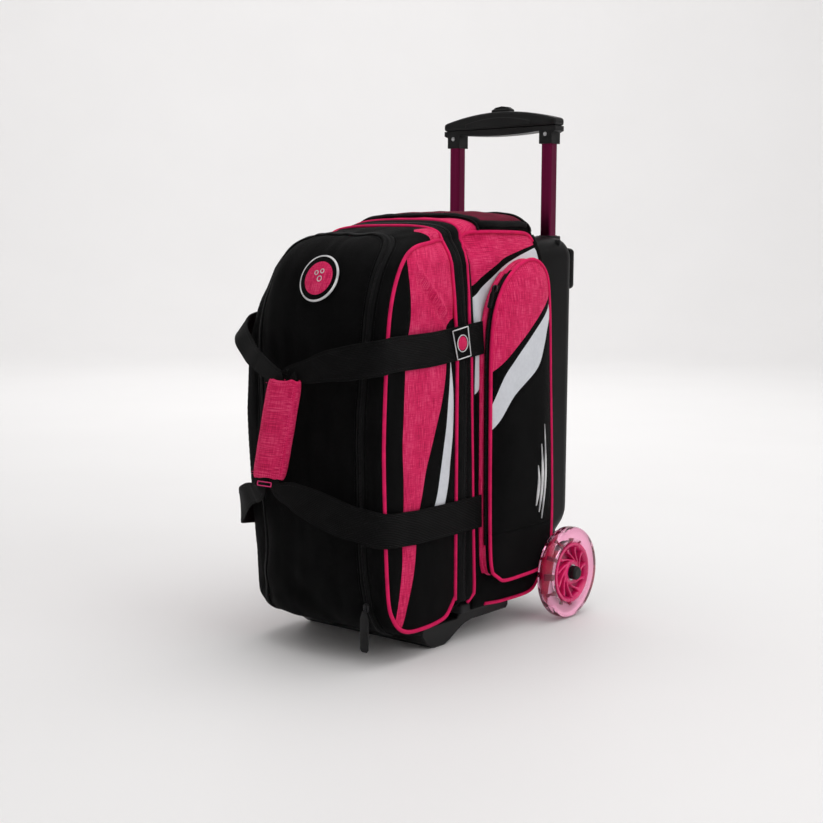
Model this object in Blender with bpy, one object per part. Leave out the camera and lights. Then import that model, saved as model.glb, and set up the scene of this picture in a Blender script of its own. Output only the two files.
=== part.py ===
"""Upright two-ball roller bag: a moulded back with a telescoping handle and two wheels, a sewn
ball compartment in front of it, and a side-hinged front door that holds the shoe compartment.

Frame: X to the bag's right as seen from the front, -Y out of the front, +Z up, floor at Z = 0.
Every length is in metres.
"""
import bpy
import bmesh
from math import atan2, cos, pi, radians, sin
from mathutils import Matrix, Vector

# ---- driving dimensions ------------------------------------------------------------------
GAP = 0.0003                  # clearance between pieces that touch on the real bag
CLOTH = 0.0030                # foam-backed cloth
HALF_WIDTH = 0.1200           # cloth body, centre to side
BALL_RADIUS = 0.1090          # 218 mm ball
BALL_Y = 0.0935
BALL_Z = (0.1630, 0.3930)     # lower and upper ball centres
CUP_RADIUS = BALL_RADIUS + 0.0015

SEAM_Y = -0.0230              # plane where the door meets the ball compartment
TAPE_WIDTH = 0.0185
TAPE_CROWN_Z = 0.5430
REAR_FRONT_Y = SEAM_Y + TAPE_WIDTH
DOOR_REAR_Y = SEAM_Y - TAPE_WIDTH
SHELL_FRONT_Y = 0.1360
BASE_Z = (0.0352, 0.0480)

SHELL_HALF_WIDTH = 0.1155
SHELL_BACK_Y = 0.2430
SHELL_TOP_Z = 0.5240
SHELL_WALL = 0.0030
SHELL_RADIUS = 0.0200
SHELL_TOE = (SHELL_FRONT_Y, 0.0460)      # lower front edge of the shell's sloped floor
SHELL_HEEL = (SHELL_BACK_Y, 0.1250)      # where that slope meets the upright back

TUBE_X = 0.0800
TUBE_Y = 0.2195
TUBE_WALL = 0.0010
TUBE_SIZES = (0.0165, 0.0191, 0.0217)    # inner, middle and outer square tubes
TUBE_TOP_Z = SHELL_TOP_Z + 0.0008
PIN_Z = 0.2900
PIN_RADIUS = 0.0022

GRIP_HALF = 0.0965
GRIP_DEPTH = 0.0250
SOCKET = 0.0210
SOCKET_Z = 0.6520
GRIP_SPLIT_Z = 0.6765
GRIP_END_Z = 0.6870
GRIP_CROWN_Z = 0.7000
BUTTON_TOP_Z = 0.7080
BAR_Z = (0.6778, 0.6830)
BUTTON_TRAVEL = 0.0050

WHEEL_RADIUS = 0.0635
WHEEL_WIDTH = 0.0220
WHEEL_X = 0.1485
AXLE_Y = 0.1770
AXLE_RADIUS = 0.0040
BEARING_RADIUS = 0.0110
CORE_RADIUS = 0.0415
SPOKES = 9

POCKET_RIM_X = 0.1355
POCKET_SPLIT_X = 0.1280
POCKET_BULGE = 0.0100
POCKET_HINGE_Y = 0.1600
POUCH_TOP_Z = 0.1370

DOOR_HINGE = (-HALF_WIDTH, SEAM_Y, 0.28)
FLAP_HINGE = (0.0, -0.1950, 0.4260)
FLAP_HALF = 0.1000
FLAP_REAR_Y = -0.0950

WEB_WIDTH = 0.0420
WEB_THICK = 0.0025
LOOP_ANCHOR = (0.1245, 0.0120, 0.28)
WRAP_Y = -0.2390

SLIDER_HEIGHT = 0.0036
PULL_THICK = 0.0024
PULL_PIN = 0.0015             # how far past the slider's middle its pull turns
SHOE_SLIDER = (0.0960, -0.1960, 0.0760)
MAIN_SLIDER_X = -0.0950
POCKET_SLIDER = (0.1302, 0.0260, 0.4545)
POCKET_SLIDER_LEAN = 19.27    # degrees that the pocket's zip leans back where its slider runs

# side and centre outlines of the door in (y, z), paired point for point, from the bottom of
# its rear edge round the front and over the top to the top of that edge
DOOR_SIDE = (
    (SEAM_Y - 0.0015, 0.060), (-0.045, 0.052), (-0.072, 0.038), (-0.105, 0.036), (-0.142, 0.039),
    (-0.165, 0.058), (-0.176, 0.097), (-0.183, 0.230), (-0.183, 0.300), (-0.177, 0.400),
    (-0.168, 0.450), (-0.150, 0.488), (-0.125, 0.507), (-0.078, 0.514), (DOOR_REAR_Y - 0.0006, 0.516),
)
DOOR_CENTRE = (
    (SEAM_Y - 0.0015, 0.050), (-0.045, 0.042), (-0.072, 0.034), (-0.110, 0.0325), (-0.150, 0.034),
    (-0.183, 0.052), (-0.195, 0.097), (-0.199, 0.230), (-0.199, 0.300), (-0.197, 0.405),
    (-0.188, 0.457), (-0.169, 0.497), (-0.138, 0.522), (-0.085, 0.534), (DOOR_REAR_Y - 0.0006, 0.540),
)
# the side pocket's rim in (y, z), going up the front edge and down the rear one
POCKET_RIM = (
    (0.019, 0.086), (0.012, 0.140), (0.010, 0.300), (0.012, 0.400), (0.031, 0.452), (0.066, 0.483),
    (0.104, 0.4925), (0.133, 0.474), (0.142, 0.430), (0.147, 0.330), (0.152, 0.236), (0.155, 0.140),
    (0.150, 0.095), (0.131, 0.076), (0.085, 0.072), (0.040, 0.073),
)


# ---- helpers -----------------------------------------------------------------------------
def clear_scene():
    for obj in list(bpy.data.objects):
        bpy.data.objects.remove(obj, do_unlink=True)


def material(name, colour, roughness, metallic=0.0):
    mat = bpy.data.materials.new(name)
    mat.use_nodes = True
    shader = mat.node_tree.nodes["Principled BSDF"]
    shader.inputs["Base Color"].default_value = (*colour, 1.0)
    shader.inputs["Roughness"].default_value = roughness
    shader.inputs["Metallic"].default_value = metallic
    mat.diffuse_color = (*colour, 1.0)
    return mat


def add(name, bm, mat, origin=(0, 0, 0), smooth=True):
    """Links a mesh given in world coordinates as an object whose origin is at origin."""
    bmesh.ops.recalc_face_normals(bm, faces=bm.faces)
    bmesh.ops.translate(bm, verts=bm.verts, vec=-Vector(origin))
    mesh = bpy.data.meshes.new(name)
    bm.to_mesh(mesh)
    bm.free()
    obj = bpy.data.objects.new(name, mesh)
    obj.location = origin
    bpy.context.scene.collection.objects.link(obj)
    if mat:
        mesh.materials.append(mat)
    if smooth:
        mesh.shade_smooth()
        mesh.set_sharp_from_angle(angle=radians(35))
    return obj


def helper(obj):
    obj.hide_render = True
    obj.display_type = "WIRE"
    return obj


def boolean(obj, other, operation="DIFFERENCE"):
    helper(other)
    modifier = obj.modifiers.new(f"{operation.lower()} {other.name}", "BOOLEAN")
    modifier.operation = operation
    modifier.object = other
    modifier.solver = "EXACT"


def round_edges(obj, width, segments=2, angle=40):
    modifier = obj.modifiers.new("round edges", "BEVEL")
    modifier.width = width
    modifier.segments = segments
    modifier.limit_method = "ANGLE"
    modifier.angle_limit = radians(angle)


def box(name, low, high, mat=None, origin=(0, 0, 0)):
    bm = bmesh.new()
    bmesh.ops.create_cube(bm, size=1.0)
    low, high = Vector(low), Vector(high)
    for vert in bm.verts:
        vert.co = [low[i] + (vert.co[i] + 0.5) * (high[i] - low[i]) for i in range(3)]
    return add(name, bm, mat, origin, smooth=False)


def prism(name, outline, axis, low, high, mat=None, origin=(0, 0, 0)):
    """Extrudes an outline of pairs along axis: 0 takes (y, z), 1 takes (x, z), 2 takes (x, y)."""
    bm = bmesh.new()
    rings = []
    for level in (low, high):
        corners = [list(point[:axis]) + [level] + list(point[axis:]) for point in outline]
        rings.append([bm.verts.new(corner) for corner in corners])
    count = len(outline)
    bm.faces.new(rings[0])
    bm.faces.new(list(reversed(rings[1])))
    for i in range(count):
        j = (i + 1) % count
        bm.faces.new((rings[0][i], rings[1][i], rings[1][j], rings[0][j]))
    return add(name, bm, mat, origin)


def turned(name, profile, centre, axis, steps, mat, origin):
    """Turns a closed profile of (radius, height) pairs round the X or Z axis through centre."""
    bm = bmesh.new()
    rings = []
    for step in range(steps):
        angle = 2 * pi * step / steps
        ring = []
        for radius, height in profile:
            across, along = radius * cos(angle), radius * sin(angle)
            local = (height, across, along) if axis == 0 else (across, along, height)
            ring.append(bm.verts.new(Vector(centre) + Vector(local)))
        rings.append(ring)
    count = len(profile)
    for step in range(steps):
        here, there = rings[step], rings[(step + 1) % steps]
        for i in range(count):
            j = (i + 1) % count
            bm.faces.new((here[i], there[i], there[j], here[j]))
    return add(name, bm, mat, origin)


def disc(name, centre, axis, radius, low, high, steps, mat=None, origin=(0, 0, 0)):
    """A round bar along axis 0 or 1, from low to high on that axis."""
    points = [
        (centre[0] + radius * cos(2 * pi * i / steps), centre[1] + radius * sin(2 * pi * i / steps))
        for i in range(steps)
    ]
    return prism(name, points, axis, low, high, mat, origin)


def disc_up(name, centre, radius, low, high, steps):
    points = [
        (centre[0] + radius * cos(2 * pi * i / steps), centre[1] + radius * sin(2 * pi * i / steps))
        for i in range(steps)
    ]
    return prism(name, points, 2, low, high)


def curve_through(points, per_span):
    """A smooth open curve through the points, as Catmull-Rom spans of per_span steps."""
    points = [Vector(point) for point in points]
    ends = [2 * points[0] - points[1]] + points + [2 * points[-1] - points[-2]]
    found = []
    for a, b, c, d in zip(ends, ends[1:], ends[2:], ends[3:]):
        for step in range(per_span):
            t = step / per_span
            found.append(
                0.5 * (2 * b + (c - a) * t + (2 * a - 5 * b + 4 * c - d) * t**2
                       + (3 * b - a - 3 * c + d) * t**3)
            )
    return found + [points[-1]]


def closed_curve(points, per_span):
    """A smooth closed outline through the points."""
    ring = [points[-1], *points, points[0], points[1]]
    steps = curve_through(ring, per_span)
    return [tuple(point) for point in steps[per_span:-2 * per_span]]


def rounded(corners, steps=5):
    """An outline of (a, b, radius) corners with each corner turned into an arc."""
    found = []
    count = len(corners)
    for i, (a, b, radius) in enumerate(corners):
        here = Vector((a, b))
        if radius == 0:
            found.append((a, b))
            continue
        before = (Vector(corners[i - 1][:2]) - here).normalized()
        after = (Vector(corners[(i + 1) % count][:2]) - here).normalized()
        half = before.angle(after) / 2
        centre = here + (before + after).normalized() * radius / sin(half)
        reach = radius / sin(half) * cos(half)
        start, end = here + before * reach - centre, here + after * reach - centre
        sweep = atan2(start.x * end.y - start.y * end.x, start.dot(end))
        for step in range(steps + 1):
            found.append(tuple(centre + Matrix.Rotation(sweep * step / steps, 2) @ start))
    return found


def thick_sheet(name, grid, thickness, mat, origin=(0, 0, 0), missing=()):
    """Gives a grid of outer points a thickness inwards. missing holds the cells left open."""
    rows, columns = len(grid), len(grid[0])

    def normal(i, j):
        down = grid[min(i + 1, rows - 1)][j] - grid[max(i - 1, 0)][j]
        along = grid[i][min(j + 1, columns - 1)] - grid[i][max(j - 1, 0)]
        return along.cross(down).normalized()

    bm = bmesh.new()
    outer = [[bm.verts.new(point) for point in row] for row in grid]
    inner = [
        [bm.verts.new(grid[i][j] - normal(i, j) * thickness) for j in range(columns)]
        for i in range(rows)
    ]
    edges = {}
    for i in range(rows - 1):
        for j in range(columns - 1):
            if (i, j) in missing:
                continue
            cell = ((i, j), (i + 1, j), (i + 1, j + 1), (i, j + 1))
            bm.faces.new([outer[a][b] for a, b in cell])
            bm.faces.new([inner[a][b] for a, b in reversed(cell)])
            for start, end in zip(cell, cell[1:] + cell[:1]):
                if (end, start) in edges:
                    del edges[end, start]
                else:
                    edges[start, end] = True
    for (a, b), (c, d) in edges:
        bm.faces.new((outer[c][d], outer[a][b], inner[a][b], inner[c][d]))
    loose = [vert for vert in bm.verts if not vert.link_faces]
    bmesh.ops.delete(bm, geom=loose, context="VERTS")
    return add(name, bm, mat, origin)


def strap(name, route, across, widths, thickness, mat, origin):
    """A flat band along a route, with the direction and the size of its width at each point."""
    bm = bmesh.new()
    rings = []
    for i, point in enumerate(route):
        ahead = (route[min(i + 1, len(route) - 1)] - route[max(i - 1, 0)]).normalized()
        side = (across[i] - ahead * across[i].dot(ahead)).normalized() * widths[i] / 2
        up = ahead.cross(side).normalized() * thickness / 2
        corners = ((-1, -1), (1, -1), (1, 1), (-1, 1))
        rings.append([bm.verts.new(point + side * a + up * b) for a, b in corners])
    for here, there in zip(rings, rings[1:]):
        for k in range(4):
            m = (k + 1) % 4
            bm.faces.new((here[k], there[k], there[m], here[m]))
    bm.faces.new(list(reversed(rings[0])))
    bm.faces.new(rings[-1])
    return add(name, bm, mat, origin)


def square_tube(name, size, x, low, high, mat, origin=(0, 0, 0)):
    """An open square tube, built as four walls round a through hole."""
    def ring(half, radius):
        return rounded([
            (x - half, TUBE_Y - half, radius), (x + half, TUBE_Y - half, radius),
            (x + half, TUBE_Y + half, radius), (x - half, TUBE_Y + half, radius),
        ], steps=2)

    outer, inner = ring(size / 2, 0.0022), ring(size / 2 - TUBE_WALL, 0.0012)
    bm = bmesh.new()
    levels = []
    for z in (low, high):
        levels.append(([bm.verts.new((*p, z)) for p in outer], [bm.verts.new((*p, z)) for p in inner]))
    count = len(outer)
    for i in range(count):
        j = (i + 1) % count
        (lo_out, lo_in), (hi_out, hi_in) = levels
        bm.faces.new((lo_out[i], lo_out[j], hi_out[j], hi_out[i]))
        bm.faces.new((lo_in[j], lo_in[i], hi_in[i], hi_in[j]))
        bm.faces.new((lo_out[j], lo_out[i], lo_in[i], lo_in[j]))
        bm.faces.new((hi_out[i], hi_out[j], hi_in[j], hi_in[i]))
    return add(name, bm, mat, origin, smooth=False)


def side_name(sign):
    return "right" if sign > 0 else "left"


# ---- materials ---------------------------------------------------------------------------
def make_materials():
    return {
        "black_cloth": material("black nylon cloth", (0.012, 0.012, 0.013), 0.85),
        "pink_cloth": material("pink heather cloth", (0.72, 0.03, 0.16), 0.85),
        "mesh": material("black mesh over pink", (0.12, 0.02, 0.04), 0.85),
        "webbing": material("black webbing", (0.010, 0.010, 0.011), 0.80),
        "shell": material("black moulded back", (0.010, 0.010, 0.011), 0.45),
        "plastic": material("black moulded plastic", (0.014, 0.014, 0.015), 0.40),
        "foam": material("grey foam", (0.10, 0.10, 0.10), 0.95),
        "tube": material("plum anodised aluminium", (0.16, 0.01, 0.06), 0.28, 0.9),
        "raw_tube": material("bare aluminium", (0.60, 0.60, 0.62), 0.30, 1.0),
        "steel": material("steel", (0.55, 0.55, 0.56), 0.30, 1.0),
        "tyre": material("clear pink tyre", (0.85, 0.25, 0.45), 0.12),
        "core": material("pink wheel core", (0.70, 0.02, 0.15), 0.35),
        "zip": material("black zip tape", (0.012, 0.012, 0.012), 0.75),
    }


# ---- moulded back, base and running gear --------------------------------------------------
def shell_solid(name, inset, mat=None):
    """The back's outer form shrunk by inset: a side profile met with a plan profile."""
    slope = Vector((SHELL_HEEL[0] - SHELL_TOE[0], SHELL_HEEL[1] - SHELL_TOE[1])).normalized()
    lift = inset / slope.x
    radius = SHELL_RADIUS - inset
    front = SHELL_FRONT_Y - (0.01 if inset else 0)
    profile = rounded([
        (front, SHELL_TOE[1] + lift + (front - SHELL_FRONT_Y) * slope.y / slope.x, 0),
        (SHELL_HEEL[0] - inset, SHELL_HEEL[1] + lift - inset * slope.y / slope.x, radius),
        (SHELL_BACK_Y - inset, SHELL_TOP_Z - inset, radius),
        (front, SHELL_TOP_Z - inset, 0),
    ], steps=4)
    half = SHELL_HALF_WIDTH - inset
    plan = rounded([
        (-half, front - 0.001, 0), (half, front - 0.001, 0),
        (half, SHELL_BACK_Y - inset, radius), (-half, SHELL_BACK_Y - inset, radius),
    ], steps=4)
    solid = prism(name, profile, 0, -HALF_WIDTH, HALF_WIDTH, mat)
    boolean(solid, prism(name + "_plan", plan, 2, 0.0, 0.6), "INTERSECT")
    return solid


def make_back(m):
    shell = shell_solid("back_shell", 0.0, m["shell"])
    band = prism("back_shell_band", rounded([
        (0.2300, 0.4510, 0.002), (0.2475, 0.4530, 0.005),
        (0.2475, 0.5060, 0.005), (0.2300, 0.5080, 0.002),
    ], steps=2), 0, -0.1080, 0.1080)
    boolean(shell, band, "UNION")
    boolean(shell, shell_solid("back_shell_hollow", SHELL_WALL))
    half = TUBE_SIZES[2] / 2 + GAP
    for sign in (-1, 1):
        boolean(shell, box(
            f"back_shell_hole_{side_name(sign)}",
            (sign * TUBE_X - half, TUBE_Y - half, SHELL_TOP_Z - 0.010),
            (sign * TUBE_X + half, TUBE_Y + half, SHELL_TOP_Z + 0.010),
        ))
    board_y = BALL_Y + BALL_RADIUS + 0.0008
    box("back_board", (-0.1100, board_y, 0.1150), (0.1100, board_y + 0.0030, 0.5190), m["foam"])


def make_base(m):
    tray = box(
        "base_tray", (-0.1163, SEAM_Y + 0.0012, BASE_Z[0]), (0.1163, SHELL_FRONT_Y - 0.0012, BASE_Z[1]),
        m["black_cloth"],
    )
    round_edges(tray, 0.0030)
    skid = prism("front_skid", [
        (-0.092, 0.0190), (-0.084, 0.0090), (-0.074, 0.0020), (-0.066, 0.0000), (-0.046, 0.0000),
        (-0.034, 0.0045), (-0.018, 0.0135), (-0.004, 0.0195), (0.012, 0.0225), (0.090, 0.0225),
        (0.094, 0.0260), (0.094, 0.0320), (0.090, 0.0345), (-0.017, 0.0345), (-0.019, 0.0295),
        (-0.088, 0.0295), (-0.092, 0.0260),
    ], 0, -0.1080, 0.1080, m["plastic"])
    round_edges(skid, 0.0012, 1, 50)


def make_running_gear(m):
    slope = (SHELL_HEEL[1] - SHELL_TOE[1]) / (SHELL_HEEL[0] - SHELL_TOE[0])

    def under_shell(y):
        return (y, SHELL_TOE[1] + (y - SHELL_TOE[0]) * slope - 0.0006)

    housing = prism("axle_housing", [
        under_shell(0.152), (0.152, 0.0530), (0.157, 0.0480), (0.192, 0.0480),
        (0.200, 0.0560), under_shell(0.200),
    ], 0, -0.1180, 0.1180, m["plastic"])
    boolean(housing, disc(
        "axle_housing_bore", (AXLE_Y, WHEEL_RADIUS), 0, AXLE_RADIUS + 0.0005, -0.13, 0.13, 20))
    disc("axle", (AXLE_Y, WHEEL_RADIUS), 0, AXLE_RADIUS, -0.1575, 0.1575, 20, m["steel"])
    for sign in (-1, 1):
        make_wheel(m, sign)


def make_wheel(m, sign):
    side = side_name(sign)
    centre = (sign * WHEEL_X, AXLE_Y, WHEEL_RADIUS)
    section, points = [], 12
    middle, half_height = (WHEEL_RADIUS + CORE_RADIUS) / 2, (WHEEL_RADIUS - CORE_RADIUS) / 2
    for i in range(points):
        angle = 2 * pi * (i + 0.5) / points
        across, up = cos(angle), sin(angle)
        section.append((
            middle + half_height * (abs(up) ** 0.7) * (1 if up > 0 else -1),
            WHEEL_WIDTH / 2 * (abs(across) ** 0.7) * (1 if across > 0 else -1),
        ))
    inner = CORE_RADIUS + 0.0003
    section = [(max(radius, inner), height) for radius, height in section]
    turned(f"wheel_tyre_{side}", section, centre, 0, 30, m["tyre"], centre)

    core_half = 0.0085
    bore = BEARING_RADIUS + GAP
    rim = CORE_RADIUS
    core = turned(f"wheel_core_{side}", [
        (rim, core_half), (rim, -core_half), (rim - 0.005, -core_half),
        (rim - 0.006, -core_half + 0.002), (0.0185, -core_half + 0.002), (0.0175, -core_half - 0.001),
        (bore, -core_half - 0.001), (bore, core_half + 0.001), (0.0175, core_half + 0.001),
        (0.0185, core_half - 0.002), (rim - 0.006, core_half - 0.002), (rim - 0.005, core_half),
    ], centre, 0, 27, m["core"], centre)
    bm = bmesh.new()
    for k in range(SPOKES):
        lead, width = 2 * pi * k / SPOKES, 2 * pi / SPOKES - 0.24
        outline = [(0.0205, 0.0), (0.0275, 0.22), (0.0335, 0.36), (0.0335, 0.36 + width),
                   (0.0275, 0.22 + width), (0.0205, width * 0.82)]
        points = [
            (centre[1] + r * cos(lead + a), centre[2] + r * sin(lead + a)) for r, a in outline
        ]
        rings = [[bm.verts.new((x, *p)) for p in points] for x in (centre[0] - 0.02, centre[0] + 0.02)]
        bm.faces.new(rings[0])
        bm.faces.new(list(reversed(rings[1])))
        for i in range(6):
            j = (i + 1) % 6
            bm.faces.new((rings[0][i], rings[1][i], rings[1][j], rings[0][j]))
    boolean(core, add(f"wheel_windows_{side}", bm, None))

    turned(f"wheel_bearing_{side}", [
        (BEARING_RADIUS, 0.0085), (BEARING_RADIUS, -0.0085), (AXLE_RADIUS + 0.0004, -0.0085),
        (AXLE_RADIUS + 0.0004, 0.0085),
    ], centre, 0, 24, m["steel"], centre)
    start, height = sign * 0.1580, sign * 0.0090
    turned(f"axle_cap_{side}", [
        (0.0004, 0.0), (0.0095, 0.0), (0.0095, height * 0.70), (0.0082, height * 0.92),
        (0.0060, height), (0.0004, height),
    ], (start, AXLE_Y, WHEEL_RADIUS), 0, 20, m["plastic"], (start, AXLE_Y, WHEEL_RADIUS))


# ---- telescoping handle -------------------------------------------------------------------
def make_handle(m):
    for sign in (-1, 1):
        side, x = side_name(sign), sign * TUBE_X
        hole = disc(f"pin_hole_{side}", (TUBE_Y, PIN_Z), 0, PIN_RADIUS + GAP,
                    *sorted((x, x + sign * 0.0100)), 12)
        square_tube(f"outer_tube_{side}", TUBE_SIZES[2], x, 0.1300, TUBE_TOP_Z, m["raw_tube"])
        middle = square_tube(
            f"middle_tube_{side}", TUBE_SIZES[1], x, 0.1400, TUBE_TOP_Z + 0.0012, m["tube"],
            (x, TUBE_Y, 0.1400))
        inner = square_tube(
            f"inner_tube_{side}", TUBE_SIZES[0], x, 0.2750, GRIP_SPLIT_Z - 0.0095, m["tube"],
            (x, TUBE_Y, 0.2750))
        boolean(middle, hole)
        boolean(inner, hole)
        rod_half = 0.0022
        box(f"push_rod_{side}", (x - rod_half, TUBE_Y - rod_half, PIN_Z + 0.0110),
            (x + rod_half, TUBE_Y + rod_half, BAR_Z[0] - GAP), m["steel"], (x, TUBE_Y, BAR_Z[0]))
        ends = sorted((x + sign * 0.0036, x + sign * 0.0083))
        disc(f"lock_pin_{side}", (TUBE_Y, PIN_Z), 0, PIN_RADIUS, *ends, 12, m["steel"],
             (x, TUBE_Y, PIN_Z))
        disc(f"grip_screw_{side}", (x, SOCKET_Z + 0.0130), 1, 0.0028,
             TUBE_Y - SOCKET / 2 - 0.0013, TUBE_Y - SOCKET / 2 - GAP, 14, m["steel"],
             (x, TUBE_Y - SOCKET / 2, SOCKET_Z + 0.0130))


def arch(low, high, half, steps):
    """Points from +half to -half along a shallow arch from low at the ends to high."""
    xs = [half * (1 - 2 * i / steps) for i in range(steps + 1)]
    return [(x, low + (high - low) * (1 - (x / half) ** 2)) for x in xs]


def make_grip(m):
    centre = (0.0, TUBE_Y, GRIP_SPLIT_Z)
    front, back = TUBE_Y - GRIP_DEPTH / 2, TUBE_Y + GRIP_DEPTH / 2
    socket_in, socket_out = TUBE_X - SOCKET / 2, TUBE_X + SOCKET / 2
    top = prism(
        "grip_top_shell",
        [(-GRIP_HALF, GRIP_SPLIT_Z), (GRIP_HALF, GRIP_SPLIT_Z)]
        + arch(GRIP_END_Z, GRIP_CROWN_Z, GRIP_HALF, 12),
        1, front, back, m["plastic"], centre)
    round_edges(top, 0.0035, 2, 50)
    channel = TUBE_X + 0.0060
    boolean(top, box("bar_channel_top", (-channel, TUBE_Y - 0.0045, GRIP_SPLIT_Z - 0.01),
                     (channel, TUBE_Y + 0.0045, BAR_Z[1] + 0.0008)))
    boolean(top, box("button_hole", (-0.0175, TUBE_Y - 0.0080, BAR_Z[0]),
                     (0.0175, TUBE_Y + 0.0080, 0.72)))

    split = GRIP_SPLIT_Z - GAP
    under = [(x, 0.6700 - 0.0035 * (1 - (x / socket_in) ** 2)) for x in
             (-socket_in * (1 - 2 * i / 8) for i in range(9))]
    bottom = prism(
        "grip_bottom_shell",
        [(GRIP_HALF, split), (-GRIP_HALF, split), (-GRIP_HALF, GRIP_SPLIT_Z - 0.0070),
         (-socket_out, GRIP_SPLIT_Z - 0.0095), (-socket_out, SOCKET_Z), (-socket_in, SOCKET_Z)]
        + under
        + [(socket_in, SOCKET_Z), (socket_out, SOCKET_Z), (socket_out, GRIP_SPLIT_Z - 0.0095),
           (GRIP_HALF, GRIP_SPLIT_Z - 0.0070)],
        1, TUBE_Y - SOCKET / 2, TUBE_Y + SOCKET / 2, m["plastic"], centre)
    boolean(bottom, box("bar_channel_bottom", (-channel, TUBE_Y - 0.0045, BAR_Z[0] - BUTTON_TRAVEL - 0.0005),
                        (channel, TUBE_Y + 0.0045, 0.70)))
    boolean(bottom, disc_up("spring_pocket", (0.0, TUBE_Y), 0.0042, 0.6682, 0.70, 16))
    for sign in (-1, 1):
        side, x = side_name(sign), sign * TUBE_X
        half = TUBE_SIZES[0] / 2 + GAP
        boolean(bottom, box(f"socket_hole_{side}", (x - half, TUBE_Y - half, 0.64),
                            (x + half, TUBE_Y + half, GRIP_SPLIT_Z - 0.0092)))
        boolean(bottom, box(f"rod_hole_{side}", (x - 0.0030, TUBE_Y - 0.0030, 0.64),
                            (x + 0.0030, TUBE_Y + 0.0030, 0.70)))

    insert = prism("grip_insert", [
        (-0.0560, 0.6790), (0.0560, 0.6790), *arch(0.6845, 0.6915, 0.0560, 8),
    ], 1, front - 0.0016, front - GAP, m["plastic"], centre)
    round_edges(insert, 0.0005, 1, 50)

    button = prism(
        "release_button",
        [(-TUBE_X - 0.0040, BAR_Z[0]), (TUBE_X + 0.0040, BAR_Z[0]), (TUBE_X + 0.0040, BAR_Z[1]),
         (0.0160, BAR_Z[1]), (0.0160, GRIP_CROWN_Z + 0.0030), (0.0110, GRIP_CROWN_Z + 0.0065),
         (0.0, BUTTON_TOP_Z), (-0.0110, GRIP_CROWN_Z + 0.0065), (-0.0160, GRIP_CROWN_Z + 0.0030),
         (-0.0160, BAR_Z[1]), (-TUBE_X - 0.0040, BAR_Z[1])],
        1, TUBE_Y - 0.0035, TUBE_Y + 0.0035, m["plastic"], (0, TUBE_Y, BAR_Z[0]))
    cap = box("button_cap", (-0.0160, TUBE_Y - 0.0068, GRIP_CROWN_Z - 0.0060),
              (0.0160, TUBE_Y + 0.0068, GRIP_CROWN_Z + 0.0040))
    round_edges(cap, 0.0020, 2, 60)
    boolean(button, cap, "UNION")

    turns, steps, low, high = 3, 10, 0.6689, BAR_Z[0] - 0.0008
    curve = bpy.data.curves.new("button_spring", "CURVE")
    curve.dimensions = "3D"
    curve.bevel_depth = 0.0004
    curve.bevel_resolution = 1
    curve.use_fill_caps = True
    spline = curve.splines.new("POLY")
    spline.points.add(turns * steps)
    for i in range(turns * steps + 1):
        angle = 2 * pi * i / steps
        z = low + (high - low) * i / (turns * steps)
        spline.points[i].co = (0.0032 * cos(angle), 0.0032 * sin(angle), z - BAR_Z[0], 1)
    curve.materials.append(m["steel"])
    spring = bpy.data.objects.new("button_spring", curve)
    spring.location = (0, TUBE_Y, BAR_Z[0])
    bpy.context.scene.collection.objects.link(spring)


# ---- sewn ball compartment ----------------------------------------------------------------
def across(angle_steps):
    """Angles from -90 to 90 degrees across the bag's width."""
    return [radians(-90 + 180 * i / angle_steps) for i in range(angle_steps + 1)]


def barrel_point(angle, side, centre, power, half=HALF_WIDTH):
    """A point on a flattened arch: side at X = +-half, centre at X = 0, in (y, z) pairs."""
    x = abs(sin(angle)) ** power * (1 if angle > 0 else -1)
    weight = abs(cos(angle)) ** power
    side, centre = Vector(side), Vector(centre)
    y, z = side + (centre - side) * weight
    return Vector((half * x, y, z))


def make_rear_cloth(m):
    for sign in (-1, 1):
        outline = rounded([
            (REAR_FRONT_Y + 0.0006, 0.0400, 0.010), (0.1300, 0.0400, 0.020), (0.1570, 0.0850, 0.010),
            (0.1570, 0.4300, 0.030), (0.1390, 0.5180, 0.004), (REAR_FRONT_Y + 0.0006, 0.5180, 0.004),
        ], steps=3)
        low, high = sorted((sign * (HALF_WIDTH - CLOTH), sign * HALF_WIDTH))
        prism(f"rear_side_panel_{side_name(sign)}", outline, 0, low, high, m["black_cloth"])

    rows = (
        ((REAR_FRONT_Y + 0.0006, 0.5240), (REAR_FRONT_Y + 0.0006, 0.5480)),
        ((0.0500, 0.5260), (0.0500, 0.5520)), ((0.1100, 0.5260), (0.1100, 0.5540)),
        ((0.1270, 0.5250), (0.1270, 0.5530)), ((0.1335, 0.5245), (0.1335, 0.5480)),
        ((0.1353, 0.5212), (0.1353, 0.5300)),
    )
    grid = [[barrel_point(a, side, centre, 0.62) for a in across(14)] for side, centre in rows]
    thick_sheet("rear_top_panel", grid, CLOTH, m["pink_cloth"])
    lift = Vector((0, 0, 0.0030))
    grid = [
        [barrel_point(a * 0.66, side, centre, 0.62) + lift for a in across(12)]
        for side, centre in (((0.0200, 0.5248), (0.0200, 0.5496)), *rows[1:4])
    ]
    thick_sheet("mesh_top_pocket", grid, 0.0020, m["mesh"])


def zip_tape(name, front, rear, mat, origin=(0, 0, 0)):
    """A band up the right side, over the top and down the left side."""
    sides = [0.0625, 0.2100, 0.3600, 0.4900]
    arch_steps = [barrel_point(a, (0.0, 0.5150), (0.0, TAPE_CROWN_Z), 0.40) for a in across(14)]
    path = [Vector((-HALF_WIDTH, 0, z)) for z in sides] + arch_steps
    path += [Vector((HALF_WIDTH, 0, z)) for z in reversed(sides)]
    grid = [[Vector((p.x, y, p.z)) for p in path] for y in (front, rear)]
    thick_sheet(name, grid, 0.0018, mat, origin)


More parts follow.
